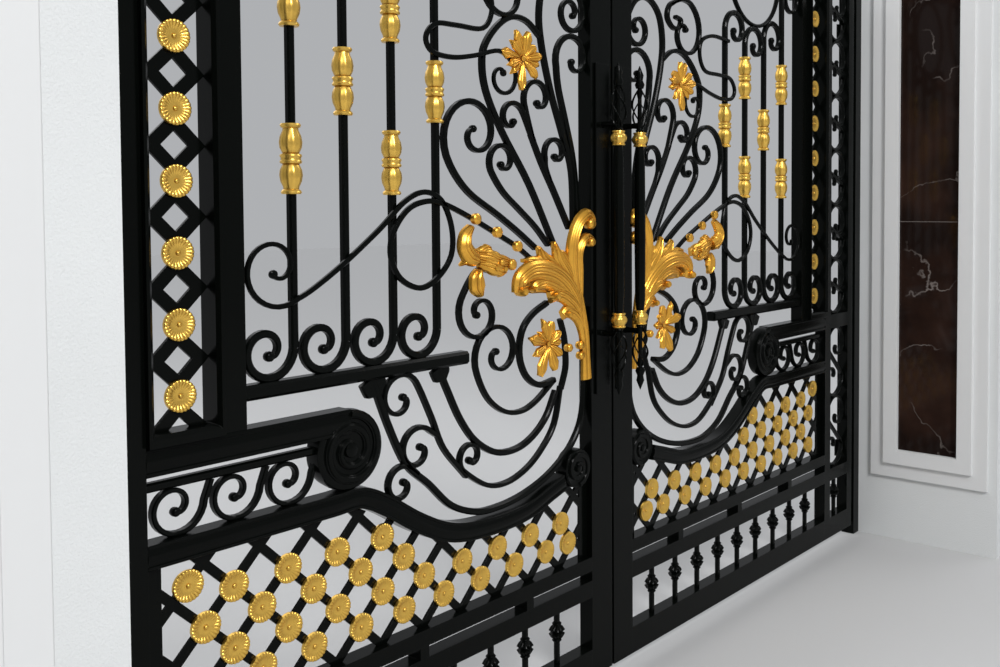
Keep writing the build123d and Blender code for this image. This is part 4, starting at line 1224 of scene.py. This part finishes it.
moulding, moulding_tree, moulding_shader = new_material("white_moulding", MOULDING_COLOUR, MOULDING_ROUGHNESS)
soft_edge = add_node(moulding_tree, "ShaderNodeBevel", samples=4, Radius=MOULDING_EDGE)
join(moulding_tree, (soft_edge, "Normal", moulding_shader, "Normal"))
dress("panel_mouldings", moulding)


# Marble panels
# Sawn slabs of dark brown marble with thin pale veins, polished and bedded inside the
# mouldings in two lengths, with a fine pointed joint between them.
MARBLE_COLOUR = (0.013, 0.0075, 0.006)
MARBLE_CLOUD = (0.045, 0.022, 0.015)
MARBLE_ROUGHNESS = 0.07
MARBLE_SHINE = 0.15
VEIN_COLOUR = (0.30, 0.26, 0.24)
VEIN_WIDTH = 0.014
VEIN_SCALE = 2.6
VEIN_WANDER = 0.55
MARBLE_CLOUD_SCALE = 3.0
FADE_SCALE = 5.0
JOINT_COLOUR = (0.16, 0.14, 0.13)
JOINT_HEIGHT = 1.47
HALF_JOINT = 0.0015

marble, marble_tree, marble_shader = new_material("dark_marble", MARBLE_COLOUR, MARBLE_ROUGHNESS)
marble_shader.inputs["Specular IOR Level"].default_value = MARBLE_SHINE
place = add_node(marble_tree, "ShaderNodeTexCoord")
warp = cloud_on(marble_tree, MARBLE_CLOUD_SCALE, 6.0)
bend_by = add_node(marble_tree, "ShaderNodeVectorMath", operation="SCALE")
bend_by.inputs["Scale"].default_value = VEIN_WANDER
bent_place = add_node(marble_tree, "ShaderNodeVectorMath", operation="ADD")
crack = add_node(marble_tree, "ShaderNodeTexVoronoi", feature="DISTANCE_TO_EDGE", Scale=VEIN_SCALE)
thin = ranged(marble_tree, 0.0, VEIN_WIDTH, 1.0, 0.0)
fade = cloud_on(marble_tree, FADE_SCALE, 2.0)
fade_range = ranged(marble_tree, 0.45, 0.7)
vein = sum_of(marble_tree, "MULTIPLY", thin.outputs[0], fade_range.outputs[0])
cloud_range = ranged(marble_tree, 0.42, 0.75)
height = add_node(marble_tree, "ShaderNodeSeparateXYZ")
off_joint = sum_of(marble_tree, "SUBTRACT", height.outputs["Z"], JOINT_HEIGHT)
in_joint = sum_of(marble_tree, "LESS_THAN", sum_of(marble_tree, "ABSOLUTE", off_joint), HALF_JOINT)
ground = mixed(marble_tree, MARBLE_COLOUR, MARBLE_CLOUD)
veined = mixed(marble_tree, MARBLE_COLOUR, VEIN_COLOUR)
jointed = mixed(marble_tree, MARBLE_COLOUR, JOINT_COLOUR)
marble_tree.links.new(vein, veined.inputs[0])
marble_tree.links.new(in_joint, jointed.inputs[0])
join(
    marble_tree,
    (warp, "Color", bend_by, 0),
    (place, "Object", bent_place, 0),
    (bend_by, 0, bent_place, 1),
    (bent_place, 0, crack, "Vector"),
    (crack, "Distance", thin, "Value"),
    (fade, "Fac", fade_range, "Value"),
    (warp, "Fac", cloud_range, "Value"),
    (cloud_range, "Result", ground, 0),
    (ground, 2, veined, 6),
    (place, "Object", height, 0),
    (veined, 2, jointed, 6),
    (jointed, 2, marble_shader, "Base Color"),
)
dress("marble_panels", marble)
